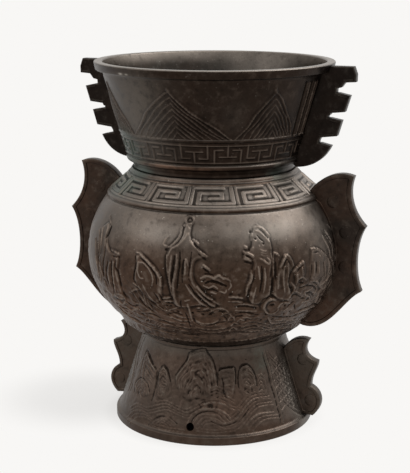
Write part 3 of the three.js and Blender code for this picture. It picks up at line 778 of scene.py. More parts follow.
# %% [markdown]
# The pinnacle is the tallest rock. It carries a round knob, long folds fall from it, streams run
# to its right, and a flat cloud stands against its side.
# %% Pinnacle and cloud
PINNACLE = {
    "knob": {"raised": [ring(185.5, 220, 4.0, 1.0)], "cut": [[(182.8, 220), (185.5, 217.6), (188.2, 220)]]},
    "left slope": {
        "broad": [[(177.4, 227.7), (175.9, 235.8), (171.5, 241.7), (165.7, 246.8)]],
        "raised": [[(181, 224), (179.6, 226.3)], [(181.8, 224.8), (185.5, 230.7)],
                   [(184, 234.3), (181, 238.7), (175.9, 243.9), (171.5, 247.2), (167.9, 249), (164.2, 254.9)],
                   [(164.2, 236.5), (161.3, 239.5), (159.4, 244.6), (164.9, 247.2)]],
        "cut": [[(179, 233), (176.7, 238), (172.5, 243), (167.9, 246.3)]],
        "deep": [[(161.3, 249.5)]],
    },
    "folds": {
        "broad": [[(173, 254.9), (172.6, 263.7), (170.8, 274.6), (169.3, 284.2), (170.1, 295.2),
                   (173, 302.5)]],
        "raised": [[(162.7, 254.9), (162.4, 263.7), (163.5, 274.6), (165.7, 285.6), (167.9, 295.2)],
                   [(167.9, 255.6), (165.7, 271), (165.7, 278), (167, 286)],
                   [(181.8, 259), (180.6, 274)], [(179.9, 265.9), (182.2, 259.3), (184, 265.9)]],
        "cut": [[(170.4, 256), (169.2, 265), (167.6, 276), (166.8, 284)],
                [(176, 252), (175.6, 264), (174, 276), (173, 288)],
                [(179.6, 260), (178.1, 271), (178.1, 282)],
                [(187.5, 252), (185.5, 266), (184, 276)]],
    },
    "streams": {
        "raised": [[(186.9, 282), (193.5, 291.5), (200.9, 299.6), (210.4, 306.9)],
                   [(192.8, 285.6), (198.7, 293), (206, 298.8), (215, 304.7)],
                   [(181.5, 284), (188.5, 294), (196, 301.5), (204, 307)]],
        "cut": [[(184, 278.3), (190.5, 287.5), (196.6, 294), (204.6, 300.4), (213.3, 306.3)],
                [(184.5, 283.8), (191.2, 293.6), (198.6, 300.6), (207, 307.5)]],
    },
    "right slope": {
        "broad": [[(188.8, 239.5), (194.3, 245)], [(186.2, 240.9), (190.6, 247.5)],
                  [(194.3, 250.8), (202.3, 257.1)], [(199, 265.1), (205.3, 270.3)]],
        "cut": [[(188.8, 243.3), (192.6, 248.2)], [(194, 254), (201.4, 260)],
                [(198.6, 268.2), (204.6, 273.2)], [(200, 273.8), (208, 275)]],
    },
    "foot of the pinnacle": {
        "broad": [[(158.7, 298), (165.8, 297)], [(160.2, 300.8), (168.4, 300.8)]],
        "raised": [[(180.2, 299.8), (186.1, 298.7)], [(183.4, 303), (185.6, 311.7), (187.8, 320.4)]],
        "cut": [[(162.2, 303.1), (168, 303.1)], [(159.7, 305.4), (167.3, 305.9)],
                [(176.9, 299.8), (176.4, 304.1), (178.6, 307.9)]],
        "deep": [[(173, 311.6), (174.2, 311.7)]],
    },
    "cloud": {
        "broad": [[(196.3, 278.3), (201, 276.3), (205, 276.3), (209.4, 278.3), (212.1, 276), (215.1, 275.6),
                   (218.4, 278.3), (221.8, 278.6), (225.8, 281)]],
        "raised": [[(225.4, 282), (226.4, 286), (224, 289.6)],
                   [(199, 285.6), (204, 287.6), (209, 286), (213, 288.4)],
                   [(206, 292), (212, 293.6)], [(215, 291), (220, 292.4), (222, 289.6)]],
        "cut": [[(203, 290), (208, 289.6), (213, 291.4)], [(198, 281.4), (201, 279.8)]],
        "deep": [[(200.6, 283.4), (206, 281.6), (212, 282.6), (217.4, 284.6), (221.4, 286)]],
    },
}
draw(belly, belly_radius, PINNACLE, BELLY_SHIFT)
print("pinnacle groups", len(PINNACLE))

# %% [markdown]
# Right of the middle an overhanging rock leans over a row of peaks that end in curls of water.
# %% Right-hand rocks
RIGHT_ROCKS = {
    "shelf": {
        "broad": [[(224.5, 296.7), (231.2, 296.8), (237.9, 297.9)]],
        "raised": [[(223.8, 301.4), (232.5, 301.4), (238, 302)]],
        "fine": [[(229.2, 304.1), (241.9, 304.1), (252.6, 306.1)], [(230.5, 310.1), (251.9, 310.8)],
                 [(232, 317.5), (248, 317)]],
        "cut": [[(230, 306.8), (242, 306.6), (252, 308.6)], [(231.2, 313.5), (242, 312.9), (253.9, 314.8)]],
    },
    "overhang": {
        "broad": [[(249.3, 227.7), (252.6, 226.4), (257.3, 228.4), (262, 233.1), (265, 237.1)],
                  [(239.9, 246.5), (242.6, 248.5)], [(238.9, 251.8), (243.2, 253.5), (248.6, 256.5)]],
        "raised": [[(249.3, 231.6), (253.3, 232.2), (257, 235.2), (260.6, 238.8), (263, 242)],
                   [(247.2, 233.1), (246.6, 240.5)], [(247.9, 247.8)], [(249.9, 241.5)], [(253.9, 246.5)],
                   [(239.2, 258.9), (246.6, 260.9)],
                   [(254.6, 258.5), (259.3, 261.2), (263.3, 263.6), (264.7, 261.2), (262, 257.9)],
                   [(264.7, 241.8), (266, 247.2), (266.3, 255.2), (267.3, 261.9)]],
        "fine": stepped([(255, 250), (258, 251.4), (261.5, 251.2)], 0.3, 2.2, 3),
        "cut": [[(250, 229.4), (255, 229.9), (259.5, 233.8), (263.2, 238.6)],
                [(239, 254.7), (243.5, 256.6), (248, 259.3)], [(240, 261.9), (246.6, 263.6)],
                [(252, 235.5), (256, 239.6), (259, 242)]],
        "deep": [[(245.2, 231.7)], [(250.3, 239)], [(258.3, 243.8)], [(244.5, 250.3)]],
    },
    "stem": {
        "broad": [[(246.6, 270.6), (245.9, 278.6), (243.2, 285.3), (241.2, 295.4)]],
        "raised": [[(253.3, 267), (254.6, 278.6)], [(250.6, 287.3), (248.6, 295.4), (247.2, 302.1)],
                   [(266, 277.3), (265, 288.7), (264, 294.7)], [(259.5, 268), (260, 280), (258, 292)]],
        "cut": [[(249.4, 270.6), (248.8, 279), (246.2, 286), (244.2, 296)],
                [(268.2, 278), (267.2, 289), (266.2, 295)], [(256.6, 266), (257.2, 278), (254.6, 292)]],
    },
    "peaks": {
        "broad": [[(274.7, 267.2), (278.1, 261.2), (280.7, 255.5), (284, 256.5), (286.9, 260.6),
                   (288.8, 265.7)], [(288.8, 271.5), (292.6, 267), (297.7, 261.9), (299.6, 261.9)]],
        "raised": [[(268.7, 252.5), (268.3, 261.9), (268.7, 275.3)],
                   [(269, 252.5), (272, 253.8), (274.4, 255.9)],
                   [(279, 266.6), (278, 278), (279.4, 292)], [(282.6, 264), (283, 276)],
                   [(292, 274.6), (292.6, 282)], [(296.6, 267.4), (297.4, 274)],
                   [(273.5, 274), (272.5, 288)]],
        "cut": [[(277.4, 269), (280, 263), (282, 259.4), (284.4, 262.4), (286.2, 266.6)],
                [(285.6, 273.4), (283.7, 281), (285, 287.4), (287.5, 287.4)],
                [(290.8, 273.4), (294.2, 269), (298.4, 265)], [(271, 262), (270.6, 280)]],
    },
    "right curls": {
        "raised": [[(291.4, 284.2), (293.3, 279.1), (297.7, 277.2), (301.6, 279.7)], [(297.2, 281)],
                   [(299.6, 284.8), (295.8, 286.1)], [(299.7, 291.5), (304.3, 290), (308.9, 286.9)],
                   [(299.7, 291.5), (300.8, 294.9), (304.9, 296.6), (303.1, 300.1), (296.8, 302.1)],
                   [(305.4, 281), (311.1, 281), (313, 283.6), (311.1, 286.8)],
                   [(318.8, 287.4), (314.3, 291.2), (311.8, 298.9), (310.5, 302.7)],
                   [(316.2, 297.6), (312.4, 303.3)]],
        "cut": [[(294.5, 287.8), (299.6, 286.6), (303.5, 284.6)],
                [(319.8, 294.4), (316.3, 300.1), (312.9, 304.1)],
                [(294.5, 282.5), (298.5, 283)], [(302, 293), (306.5, 292.6), (309, 296)],
                [(296, 298.6), (300, 298.2)]],
    },
    "right arch": {
        "broad": [[(306, 249.1), (310.5, 248.5), (316.2, 251), (322, 256.1)], [(314.3, 256.1)]],
        "raised": [[(308.9, 262), (308.2, 275)], [(321.3, 232.6), (323.5, 234.6)], [(313.5, 262), (313, 274)],
                   [(329.6, 239.6), (330.9, 249.1), (330.3, 260.6)]],
        "cut": [[(306.8, 262), (305.6, 277.2)], [(311.2, 262), (311, 272)], [(308.6, 252.4), (313, 252)],
                [(318, 262), (319, 276)], [(327, 244), (328, 256)]],
        "deep": [[(321.3, 235.9), (324, 239.8), (326.4, 244)]],
    },
}
draw(belly, belly_radius, RIGHT_ROCKS, BELLY_SHIFT)
print("right-hand groups", len(RIGHT_ROCKS))

# %% [markdown]
# The sea covers the belly's lower part. Foam and curls are short, thick strips, and small deep
# cuts between them look like holes in the spray.
# %% Surf round the belly's foot
SURF = {
    "left foam": {
        "raised": [[(109.2, 294.7), (115, 292.8), (119.9, 295.7), (121.4, 299.8), (119.4, 303.9),
                    (112.8, 299.8)],
                   [(135.7, 312.8), (140.8, 311.5), (146.9, 311.8), (151.5, 313.6)], ring(143.9, 320, 2.2),
                   [(127, 317.7), (135.7, 322.8), (143.4, 326.8)], [(122, 306), (128, 310), (134, 308)],
                   [(128, 300), (132, 303.5), (137, 303)]],
        "fine": [*stepped([(149, 325.3), (153, 321.7)], 2.4, 1.0, 3), ring(126, 314, 2.2)],
        "cut": [[(141.8, 313.5), (147.4, 314), (152, 315.8), (156.1, 317.7)],
                [(158.7, 320.7), (166.3, 323.8), (177.6, 328.9)], [(124, 303), (129, 306.4), (134, 305)],
                [(113, 303), (118, 307.5), (124, 309.5)]],
    },
    "middle sea": {
        "broad": [[(199.7, 309), (204, 307.6)], [(192.1, 307.9), (195.4, 307.3)],
                  [(210, 312.2), (213.8, 310.9)]],
        "raised": [[(191, 319.3), (197.5, 322.2), (206.2, 322.2), (213.8, 320.4)],
                   [(223.6, 320.4), (225.4, 316.8), (229, 317), (229.6, 320)],
                   [(226.6, 325.6), (229.4, 322.4), (233, 324)], [(224.6, 331), (228, 327.6), (232.6, 329.6)],
                   [(232.2, 321.4), (235.5, 318.7), (239.8, 320.4)],
                   [(162, 311), (168, 308.6), (174, 307.4)], [(160, 315), (168, 317), (178, 321)]],
        "cut": [[(189.4, 318.7), (191, 322), (195.4, 324.9), (201.9, 326), (208.4, 324.7), (214.9, 323),
                 (221.4, 321.6), (222.2, 319.3), (219.7, 317.1)],
                [(231.1, 317.1), (237.6, 316)], [(230, 332.8), (250, 332.3)],
                [(179.6, 333.9), (195.4, 335.3)],
                [(192, 311.6), (198, 312.4), (206, 310.6)], [(181, 313), (184, 321), (186, 327)],
                [(164, 313.4), (171, 313), (178, 315)]],
        "deep": [[(197.6, 314.6), (199.6, 314.4)], [(205, 315), (206.6, 314.9)], [(188, 313)]],
    },
    "breaking curl": {
        "broad": [[(258.9, 307.6), (260.1, 303), (263, 299.9), (267.6, 298.6), (271, 299.9)],
                  [(290.5, 312.7), (299.7, 309.3), (308.9, 305.5)]],
        "raised": [[(258.9, 307.6), (263, 313.3), (271, 312.1), (274.4, 307)],
                   [(272.7, 307.6), (276.2, 303.5), (281.3, 302.4), (285.9, 303.5)],
                   [(278.5, 310.4), (282.5, 308.1)], [(271, 320.2), (291.7, 319), (303.1, 314.4)],
                   [(251.5, 325.4), (258.9, 328.2)], [(240, 331.1), (263, 329.4), (280.2, 325.9)],
                   [(263, 317), (266, 322.4), (272, 324)]],
        "fine": [*stepped([(241, 313.4), (246, 315), (252, 313.4)], 0.6, 3.2, 3),
                 *stepped([(274, 328.5), (288, 324.5), (299, 319)], 1.2, -2.6, 2)],
        "cut": [[(254.9, 303), (258.4, 298.9), (264.1, 296.4), (267.6, 295.3), (272.1, 298)],
                [(282.5, 307), (289.4, 301.2)], [(289.9, 304.7), (290.5, 309.3)],
                [(293.4, 310.6), (302, 306.8), (308.9, 303.6), (312.9, 303.8), (316.3, 300.1)],
                [(289.4, 315.6), (300.3, 311.8), (308.9, 308.2)], [(268, 316.6), (280, 317.4), (292, 315.8)],
                [(262, 326.6), (276, 324.6)]],
        "deep": [[(265.8, 305.3), (269.4, 305.3)], [(280.2, 305.6)], [(279, 313.9)], [(267.6, 319)],
                 [(261.2, 314.6)], [(256.1, 320.2)], [(285, 311.5)]],
    },
}
draw(belly, belly_radius, SURF, BELLY_SHIFT)
print("surf groups", len(SURF))

# %% [markdown]
# Long thin lines of water run below the surf. They are nearly parallel, so most are one line
# that is drawn again and again with a small step. The last rocks turn away beside the flanges.
# Low lumps over everything stand for the unevenness of the wax.
# %% Long waves and the belly's sides
FLOWS = {
    "left": {
        "fine": [*stepped([(112, 303), (124, 312.5), (140, 320), (160, 327), (184, 331.5)], 1.5, -3.4, 3),
                 *stepped([(127, 288), (132, 297), (139, 305.5), (149, 313)], 4.0, -1.4, 4),
                 *stepped([(160, 309), (166, 315), (176, 319.5), (186, 321)], 1.0, -3.0, 2)],
        "raised": [[(118, 311), (132, 321.5), (150, 329), (172, 334)],
                   [(152, 303), (158, 309), (166, 311.5)]],
        "cut": [[(113, 306), (126, 316.5), (142, 324), (160, 330)], [(135, 298), (141, 306), (148, 311)]],
    },
    "middle": {
        "fine": [*stepped([(236, 324), (246, 321), (257, 322.5), (268, 326)], 0.6, 3.2, 3),
                 *stepped([(192, 327), (206, 329.5), (222, 327.5)], 1.0, 3.0, 2),
                 *stepped([(140, 330), (170, 337), (205, 340), (240, 338), (272, 331)], 0.0, 3.0, 2)],
        "raised": [[(205, 312), (212, 308.5), (220, 309), (226, 313.5)],
                   [(216, 316), (222, 313), (228, 316)]],
        "cut": [[(206, 314.5), (213, 311.4), (220, 312.4)], [(236, 328.5), (252, 326)]],
    },
    "right": {
        "fine": [*stepped([(262, 323), (280, 322), (298, 317), (312, 308)], -1.6, 3.1, 3),
                 *stepped([(300, 304), (308, 300), (315, 293), (320, 285)], 1.2, 2.6, 3)],
        "raised": [[(284, 296.5), (290, 291), (296, 293.5)], [(316, 284), (321, 279), (325, 271)],
                   [(286, 282), (290, 287), (288, 293)], [(322, 290), (325, 284), (328, 276)]],
        "cut": [[(300.5, 286.4), (307, 285.6), (311.5, 289), (308, 295)],
                [(284, 299.5), (290, 294.6), (296, 297)],
                [(319, 288), (323, 282), (326.4, 275)]],
    },
}
LIMBS = {                    # rocks that turn away beside the flanges
    "right": {
        "raised": [[(322.5, 224.5), (328.4, 233), (331.4, 247), (332, 262)],
                   [(326, 256), (329, 267), (327.4, 280), (323, 288)]],
        "fine": [[(321, 252), (323.6, 264), (322, 276)], [(318, 236), (324, 248), (326, 258)]],
        "deep": [[(320, 231), (326.4, 241)], [(325, 262), (325.6, 274)]],
    },
    "left": {
        "raised": [[(91.6, 238), (91.8, 256), (95.4, 275), (102, 292)],
                   [(95.4, 229), (95, 248), (98, 268), (104.6, 288)]],
        "deep": [[(93.6, 242), (93.8, 258), (97, 274)]],
    },
}
for groups in (LIMBS, FLOWS):
    draw(belly, belly_radius, groups, BELLY_SHIFT)
belly.lumps(top=189, low=92, size=4.0, height=0.05, seed=2)
belly.lumps(top=138, low=78, size=1.3, height=0.16, seed=3)
belly.lumps(top=170, low=95, size=1.5, height=0.16, seed=7, azimuth=-162, spread=20)
belly.finish_canvas()
print("belly relief from", round(belly.height.min(), 2), "to", round(belly.height.max(), 2), "mm")

# %% [markdown]
# ## Hills and waves round the foot
# The foot's relief is shallower: hills cut out by thin dark lines, contour hatching inside them,
# a breaking wave over the vent hole, and a hatched pilaster beside each flange.
# %% Bodies of the hills
FOOT_BODIES = {
    "massif": ([(187, 359), (189, 354), (195, 350.5), (204.5, 347.7), (208, 352.4), (212, 357.8),
                (214.6, 364.5), (216.6, 372.5), (218, 392), (205, 398), (184, 398), (176, 384), (175, 376),
                (181, 367)], 0.6),
    "plateau": ([(217, 372), (221, 368), (229, 366.8), (235, 368.2), (236, 385), (232, 400), (226, 398),
                 (223.5, 385)], 0.5),
    "curling peak": ([(239, 371), (240.6, 366), (244.4, 364), (248.5, 364.6), (254, 372), (257, 385),
                      (248, 390), (240, 384)], 0.5),
    "left ridge": ([(147, 350.4), (149.5, 354.4), (152, 361), (156, 366.5), (157, 382), (153, 395),
                    (141, 394), (133, 384), (136, 368)], 0.45),
    "second ridge": ([(158, 368), (163.5, 365), (166, 367), (168, 371), (169.6, 378), (172, 385),
                      (171, 396), (157, 398), (158, 384)], 0.45),
}
HILL_BORDER = 1.8            # mm over which a hill's body rises
for outline, height in FOOT_BODIES.values():
    foot.mound(on_wall(foot, foot_radius, flowing(outline)), height, HILL_BORDER)
print("hill bodies", len(FOOT_BODIES))

# %% [markdown]
# Every hill has its top line, and the contours inside it are copies of that line that shrink
# towards the middle of its foot. Each of their points is moved a little at random, so that the
# contours waver as hand-cut ones do.
# %% Hills round the foot
def arches(top, base, count, smallest=0.2):
    """Copies of a hill's top line that shrink towards a point on its base."""
    waver = np.random.default_rng(len(top) + count)
    return [[(base[0] + (x - base[0]) * k + waver.uniform(-1.0, 1.0),
              base[1] + (y - base[1]) * k + waver.uniform(-1.0, 1.0)) for x, y in top]
            for k in np.linspace(0.9, smallest, count)]


LEFT_RIDGE = [(140.6, 374), (143.4, 360), (147.1, 350.4), (149.5, 354.4), (152.1, 361.1), (156.2, 369)]
SECOND_RIDGE = [(157.6, 382), (159, 371), (163.5, 365.1), (166.2, 367.2), (168.2, 371.2), (170.6, 382)]
MASSIF = [(175.6, 385), (175.7, 375.2), (180.4, 368.5), (187.1, 359.1), (189, 352.8), (195, 350),
          (204.5, 347.7), (207.9, 352.4), (211.9, 357.8), (214.6, 364.5), (216.6, 372.5), (217.4, 385)]
PLATEAU = [(223, 386), (217.4, 373), (220.8, 368.1), (224.7, 368.1), (229.1, 366.8), (235.2, 368.1),
           (235.6, 384)]
CURLING_PEAK = [(238.6, 388), (239, 371), (240.6, 366.1), (244.4, 363.9), (248.3, 364.6), (254, 372),
                (257, 386)]
RIGHT_HILL = [(254.6, 388), (256.6, 377), (261, 370.5), (265.6, 376), (268, 390)]
LOW_LEFT = [(134, 393), (136, 383), (141.5, 377.6), (147.4, 382.5), (150, 392)]
FOOT_HILLS = {
    "outlines": {
        "raised": [[(149, 357), (151.6, 363.8), (155.4, 369)],
                   [(240.6, 371), (242, 367.6), (245, 365.8), (248.3, 366.4)],
                   [(247.6, 368.8), (245.1, 371.4), (243.2, 374.6)],
                   [(218.4, 373.4), (221.4, 370.2), (229.1, 368.8), (234.2, 370)],
                   [(248.3, 389.1), (251.5, 385.9), (255.9, 384.6)], [(257.8, 398.7), (270, 398.7)]],
        "cut": [LEFT_RIDGE, SECOND_RIDGE, MASSIF[1:], PLATEAU[1:], CURLING_PEAK[1:], LOW_LEFT,
                [(157.2, 371), (156.2, 381.9), (154.2, 391.9), (151.5, 400.6)],
                [(217.7, 373.8), (222.1, 378.3), (223.4, 384.6), (224, 392.9), (226.6, 397.4), (230.4, 399)],
                [(238.7, 370.6), (238, 380.8), (240, 392)], [(245.5, 359.8), (246.2, 359.6)]],
    },
    "contours": {
        "fine": [*arches(LEFT_RIDGE, (147, 398), 8), *arches(SECOND_RIDGE, (163.5, 399), 8),
                 *arches(MASSIF, (196, 399), 8), *arches(PLATEAU, (229.4, 400), 6),
                 *arches(CURLING_PEAK, (247, 401), 8), *arches(RIGHT_HILL, (261, 400), 6),
                 *arches(LOW_LEFT, (142, 398), 5),
                 *stepped([(210, 388), (216, 386), (222, 389)], 0.3, 3.0, 4)],
    },
}
print("contours", len(FOOT_HILLS["contours"]["fine"]))

# %% [markdown]
# Four long lines carry the foot's waves, and thinner lines run beside each of them. One wave
# breaks over the place of the vent hole.
# %% Waves round the foot
SEA_ARCH = [(147, 423.4), (153.6, 416.8), (162, 413.8), (170, 416.4), (178, 423)]
LONG_WAVE = [(131, 407), (138, 403.4), (147, 407.4), (157, 405.4), (166, 404), (176, 408.4), (186, 412.4),
             (194, 409.6), (203, 404.4), (213, 402.4), (223, 404), (232, 409.4), (240, 411)]
BREAKER = [(187.6, 424), (191.4, 416), (199, 410.4), (209, 408.6), (219, 410), (227, 415), (231.6, 421)]
TROUGH = [(210, 418), (222, 423.4), (233, 421), (241, 413), (247, 405), (255, 398.8), (269, 396.6)]
LOW_WAVE = [(246, 425.6), (252, 418.6), (260, 414), (274, 412.4)]
FOOT_SEA = {
    "waves": {
        "raised": [LONG_WAVE, BREAKER, TROUGH, LOW_WAVE],
        "fine": [*arches(SEA_ARCH, (162.4, 430), 5, 0.25), *arches(BREAKER, (210, 430), 5, 0.3),
                 *stepped(LONG_WAVE[:8], 0.6, 3.1, 3), *stepped(LONG_WAVE[3:], -0.4, -3.0, 2)[1:],
                 *stepped(TROUGH, 1.6, 2.8, 4)[1:], *stepped(TROUGH[2:], -1.6, -2.8, 3)[1:],
                 *stepped(LOW_WAVE, 3.4, 2.8, 3)[1:],
                 *stepped([(128, 417), (134, 411), (143, 411.4), (150, 416)], 1.6, 3.2, 3),
                 *stepped([(152, 426.4), (166, 430.4), (184, 432.6)], 1.4, -2.4, 2),
                 *stepped([(196, 431), (214, 433), (236, 431)], 0, -2.6, 2),
                 *stepped([(214, 400.6), (221, 397.6), (228, 400), (234, 403.6)], 0.4, -2.8, 2)],
        "cut": [[(148.4, 425), (154.6, 418.6), (162.2, 415.8), (170, 418.2), (177, 424)],
                [(189.6, 425), (193.4, 418), (200, 412.8), (209, 411), (218, 412.4)],
                [(211, 421), (223, 426), (235, 423), (243.6, 415.6), (249.4, 407.6)]],
    },
}
print("wave lines", sum(len(lines) for lines in FOOT_SEA["waves"].values()))

# %% [markdown]
# A pilaster with slanting hatches closes the picture beside each flange. The foot's carving is
# shallower and wider than the belly's, so all its marks are drawn with other shares.
# %% Pilasters of the foot
LEFT_PILASTER_EDGE = [(143.4, 336.3), (137.4, 351.7), (135.4, 363.1), (132.7, 376.5), (128.7, 390)]
RIGHT_PILASTER_EDGE = [(262.4, 352), (264.6, 361), (267.8, 370.6), (270.3, 383.4), (274.1, 394.2),
                       (277.3, 407), (279.9, 416.5), (280.5, 423.5)]
PILASTERS = {
    "left": {
        "raised": [LEFT_PILASTER_EDGE],
        "cut": stepped(LEFT_PILASTER_EDGE, 2.0, 0.4, 2)[1:],
        "fine": stepped([(140, 342), (134, 348)], -1.1, 4.6, 9),
    },
    "right": {
        "cut": [RIGHT_PILASTER_EDGE],
        "raised": stepped(RIGHT_PILASTER_EDGE, 2.2, -0.6, 2)[1:],
        "fine": [*stepped([(267, 352), (272, 358), (279, 364), (288, 369)], 1.5, 5.2, 10),
                 *stepped([(290, 357), (283, 362), (276, 369), (270, 377)], 1.7, 7.6, 6),
                 *stepped([(274, 360), (277, 357)], 1.6, 5.2, 9),
                 *stepped([(282, 363), (286, 360)], 1.4, 5.4, 9)],
    },
}
SHALLOWER = {"ridges": 0.68, "grooves": 0.55, "widths": 1.13}
for groups in (FOOT_HILLS, FOOT_SEA, PILASTERS):
    draw(foot, foot_radius, groups, **SHALLOWER)
foot.lumps(top=74, low=10, size=3.0, height=0.07, seed=4)
foot.lumps(top=66, low=10, size=1.0, height=0.07, seed=5)
foot.lumps(top=66, low=24, size=1.1, height=0.3, seed=6, azimuth=-77, spread=14)
foot.finish_canvas()
print("foot relief from", round(foot.height.min(), 2), "to", round(foot.height.max(), 2), "mm")

# %% [markdown]
# ## From profile to shell
# Each section is made in three shells that meet at the flanges and under the front, as the parts
# of a piece mould do: two quarters in front, with a fine grid for the carving, and a plainer half
# behind. The closed outline is spun through its angle and its two open ends are filled. Every
# vertex then carries its distance down the wall, so the canvas can push it in or out along the
# wall's normal. The same numbers give a simple map of the surface.
# %% Outline of a shell
SHELLS = {                   # start and end azimuth, spun steps, finer cuts in each step
    "front_left": (-180, -90, 20, 14),
    "front_right": (-90, 0, 20, 14),
    "back": (0, 180, 20, 19),
}
PROFILE_DATA = ("radius", "distance", "normal_r", "normal_z", "outer", "along")
LAST_STEP = 0.3              # mm from the wall's end where no further row is begun
END_GAP = 0.01


def outline_loop(wall, inside, spacing_at):
    """The section's closed outline: outer rows, then the plain inner wall."""
    rows = [0.0]
    while rows[-1] < wall.length - LAST_STEP:
        height = np.interp(rows[-1], wall.fine, wall.fine_height)
        rows.append(rows[-1] + spacing_at(height))
    rows[-1] = wall.length - END_GAP
    rows = np.array(rows)
    radius = np.interp(rows, wall.fine, wall.fine_radius)
    height = np.interp(rows, wall.fine, wall.fine_height)
    slope_r, slope_z = np.gradient(radius, rows), np.gradient(height, rows)
    size = np.hypot(slope_r, slope_z)
    normal_r, normal_z = -slope_z / size, slope_r / size
    outer = np.column_stack([radius, height, rows, normal_r, normal_z, np.ones(len(rows))])
    inner = np.array([(r, z, 0, 0, 0, 0) for r, z in inside], float)
    loop = np.vstack([outer, inner])
    steps = np.hypot(*(np.roll(loop[:, :2], -1, axis=0) - loop[:, :2]).T)
    return np.column_stack([loop, (np.cumsum(steps) - steps) / steps.sum()])


print("shells of each section", list(SHELLS))

# %% [markdown]
# Bmesh layers become attributes of the finished mesh. Two short functions read and write them as
# arrays, because a loop over a hundred thousand vertices would be slow.
# %% Attributes as arrays
def numbers(mesh, attribute):
    values = np.zeros(len(mesh.vertices), np.float32)
    mesh.attributes[attribute].data.foreach_get("value", values)
    return values


def store(mesh, attribute, values):
    layer = mesh.attributes.new(attribute, "FLOAT", "POINT")
    layer.data.foreach_set("value", np.asarray(values, np.float32))


print("each vertex carries", PROFILE_DATA)

# %% [markdown]
# The skin isn't the same all round. Grey-green lies where water stood, at the foot of the neck
# and in the shoulder's fret, copper colour shows on the waist's roll and faintly low on the
# belly, a grey film covers the neck's left, and dust lies on everything that looks up. Many film,
# dust and bare patches are painted light: painted light on the neck's left, painted sheen on the
# belly's upper part, on the shoulder and beside the flanges, a painted highlight on the belly's
# upper left, a pale ring round the lip's top that is partly rubbed and partly a painted
# highlight, and painted light in the dark groove under the belly and in the flange's shadow low
# on the foot. Each patch is a soft lobe round a place on the wall, and where lobes overlap they
# add up. Two small bare spots under the lip are nicks. A negative amount takes film away on the
# lip's side and dust away on the foot's lowest ledge and round the waist.
# %% Patches of film, green and copper
PATCHES = {                  # azimuth and height, spread of both, amount
    "green": [((-142, 230), (22, 20), 1.1), ((-146, 203), (24, 9), 1.3), ((-150, 215), (30, 4), 0.8),
              ((-22, 214), (14, 12), 0.6), ((-34, 60), (14, 20), 0.45), ((-155, 40), (10, 40), 0.4),
              ((60, 210), (40, 12), 0.5)],
    "copper": [((-98, 222.3), (30, 2.0), 0.55), ((-98, 218.5), (26, 2.0), 0.2),
               ((-100, 104), (70, 16), 0.4), ((-164, 140), (14, 36), 0.3), ((-8, 130), (12, 30), 0.35),
               ((-118, 122), (10, 18), 0.25), ((-60, 30), (16, 12), 0.25)],
    # bare: nicks, and also painted sheen on the belly, a painted highlight on the lip's top and painted light
    # low on the foot
    "bare_and_painted_light": [((0, 300.3), (900, 0.6), 0.33), ((-118.3, 294.8), (1.2, 0.7), 1.0),
             ((-114.3, 294.7), (0.9, 0.6), 0.7), ((-42, 177), (14, 7), 0.14), ((-10, 172), (8, 9), 0.1),
             ((-7, 28), (6, 36), 0.3)],
    # film: partly real, partly painted light on the neck's left, a painted highlight on the belly's upper
    # left and painted light under the belly
    "film": [((-115, 264), (16, 45), 0.95), ((-148, 262), (18, 50), 0.25), ((-126, 178), (16, 14), 0.35),
             ((-165, 140), (24, 60), 0.4), ((-165, 40), (22, 50), 0.5), ((-80, 71), (900, 4), 0.6),
             ((-60, 262), (7, 16), 0.12), ((120, 250), (60, 60), 0.4), ((-125, 297), (32, 2.6), -0.35)],
    # dust: partly real, partly painted sheen on the belly and shoulder and painted light in shaded places
    "dust": [((-7, 150), (14, 45), 0.8), ((-8, 203), (14, 9), 0.9), ((-74, 203), (22, 8), 0.3),
             ((-150, 203), (22, 8), 0.25), ((-16, 34), (14, 34), 0.25), ((-38, 262), (11, 34), 0.18),
             ((-50, 92), (36, 12), 0.2),
             ((-90, 163), (900, 20), 0.13), ((-60, 98), (50, 15), 0.13), ((-28, 118), (16, 20), 0.15),
             ((-62, 177), (17, 8), 0.3), ((-43, 176), (15, 8), 0.3), ((-96, 176), (20, 8), 0.4),
             ((-7, 28), (7, 36), 0.6),
             ((-60, 7), (900, 4), -0.5), ((-60, 216), (900, 4), -0.2)],
}
# a painted highlight inside the mouth, on the far side of the inner wall
INNER_PAINTED_HIGHLIGHT = [((82, 285), (30, 30), 0.7)]


def lobe(azimuth, height, centre, spread):
    """A soft patch on the wall round an azimuth and height."""
    turn = (azimuth - centre[0] + 180) % 360 - 180
    return np.exp(-(turn / spread[0]) ** 2 - ((height - centre[1]) / spread[1]) ** 2)


def patchwork(patches, azimuth, height):
    return sum(amount * lobe(azimuth, height, centre, spread) for centre, spread, amount in patches)


print("patches", {key: len(patches) for key, patches in PATCHES.items()})

# %% [markdown]
# A map lays each shell out flat, for programs that want one: the angle goes across, the way
# along the outline goes up, and the two open ends lie in a side strip.
# %% Surface map
MAP_NAME = "OFBake"
MAP_MARGIN, MAP_TALL = 0.01, 0.98
WALL_WIDE = 0.9
STRIP_START, STRIP_STEP, STRIP_WIDE = 0.93, 0.035, 0.03


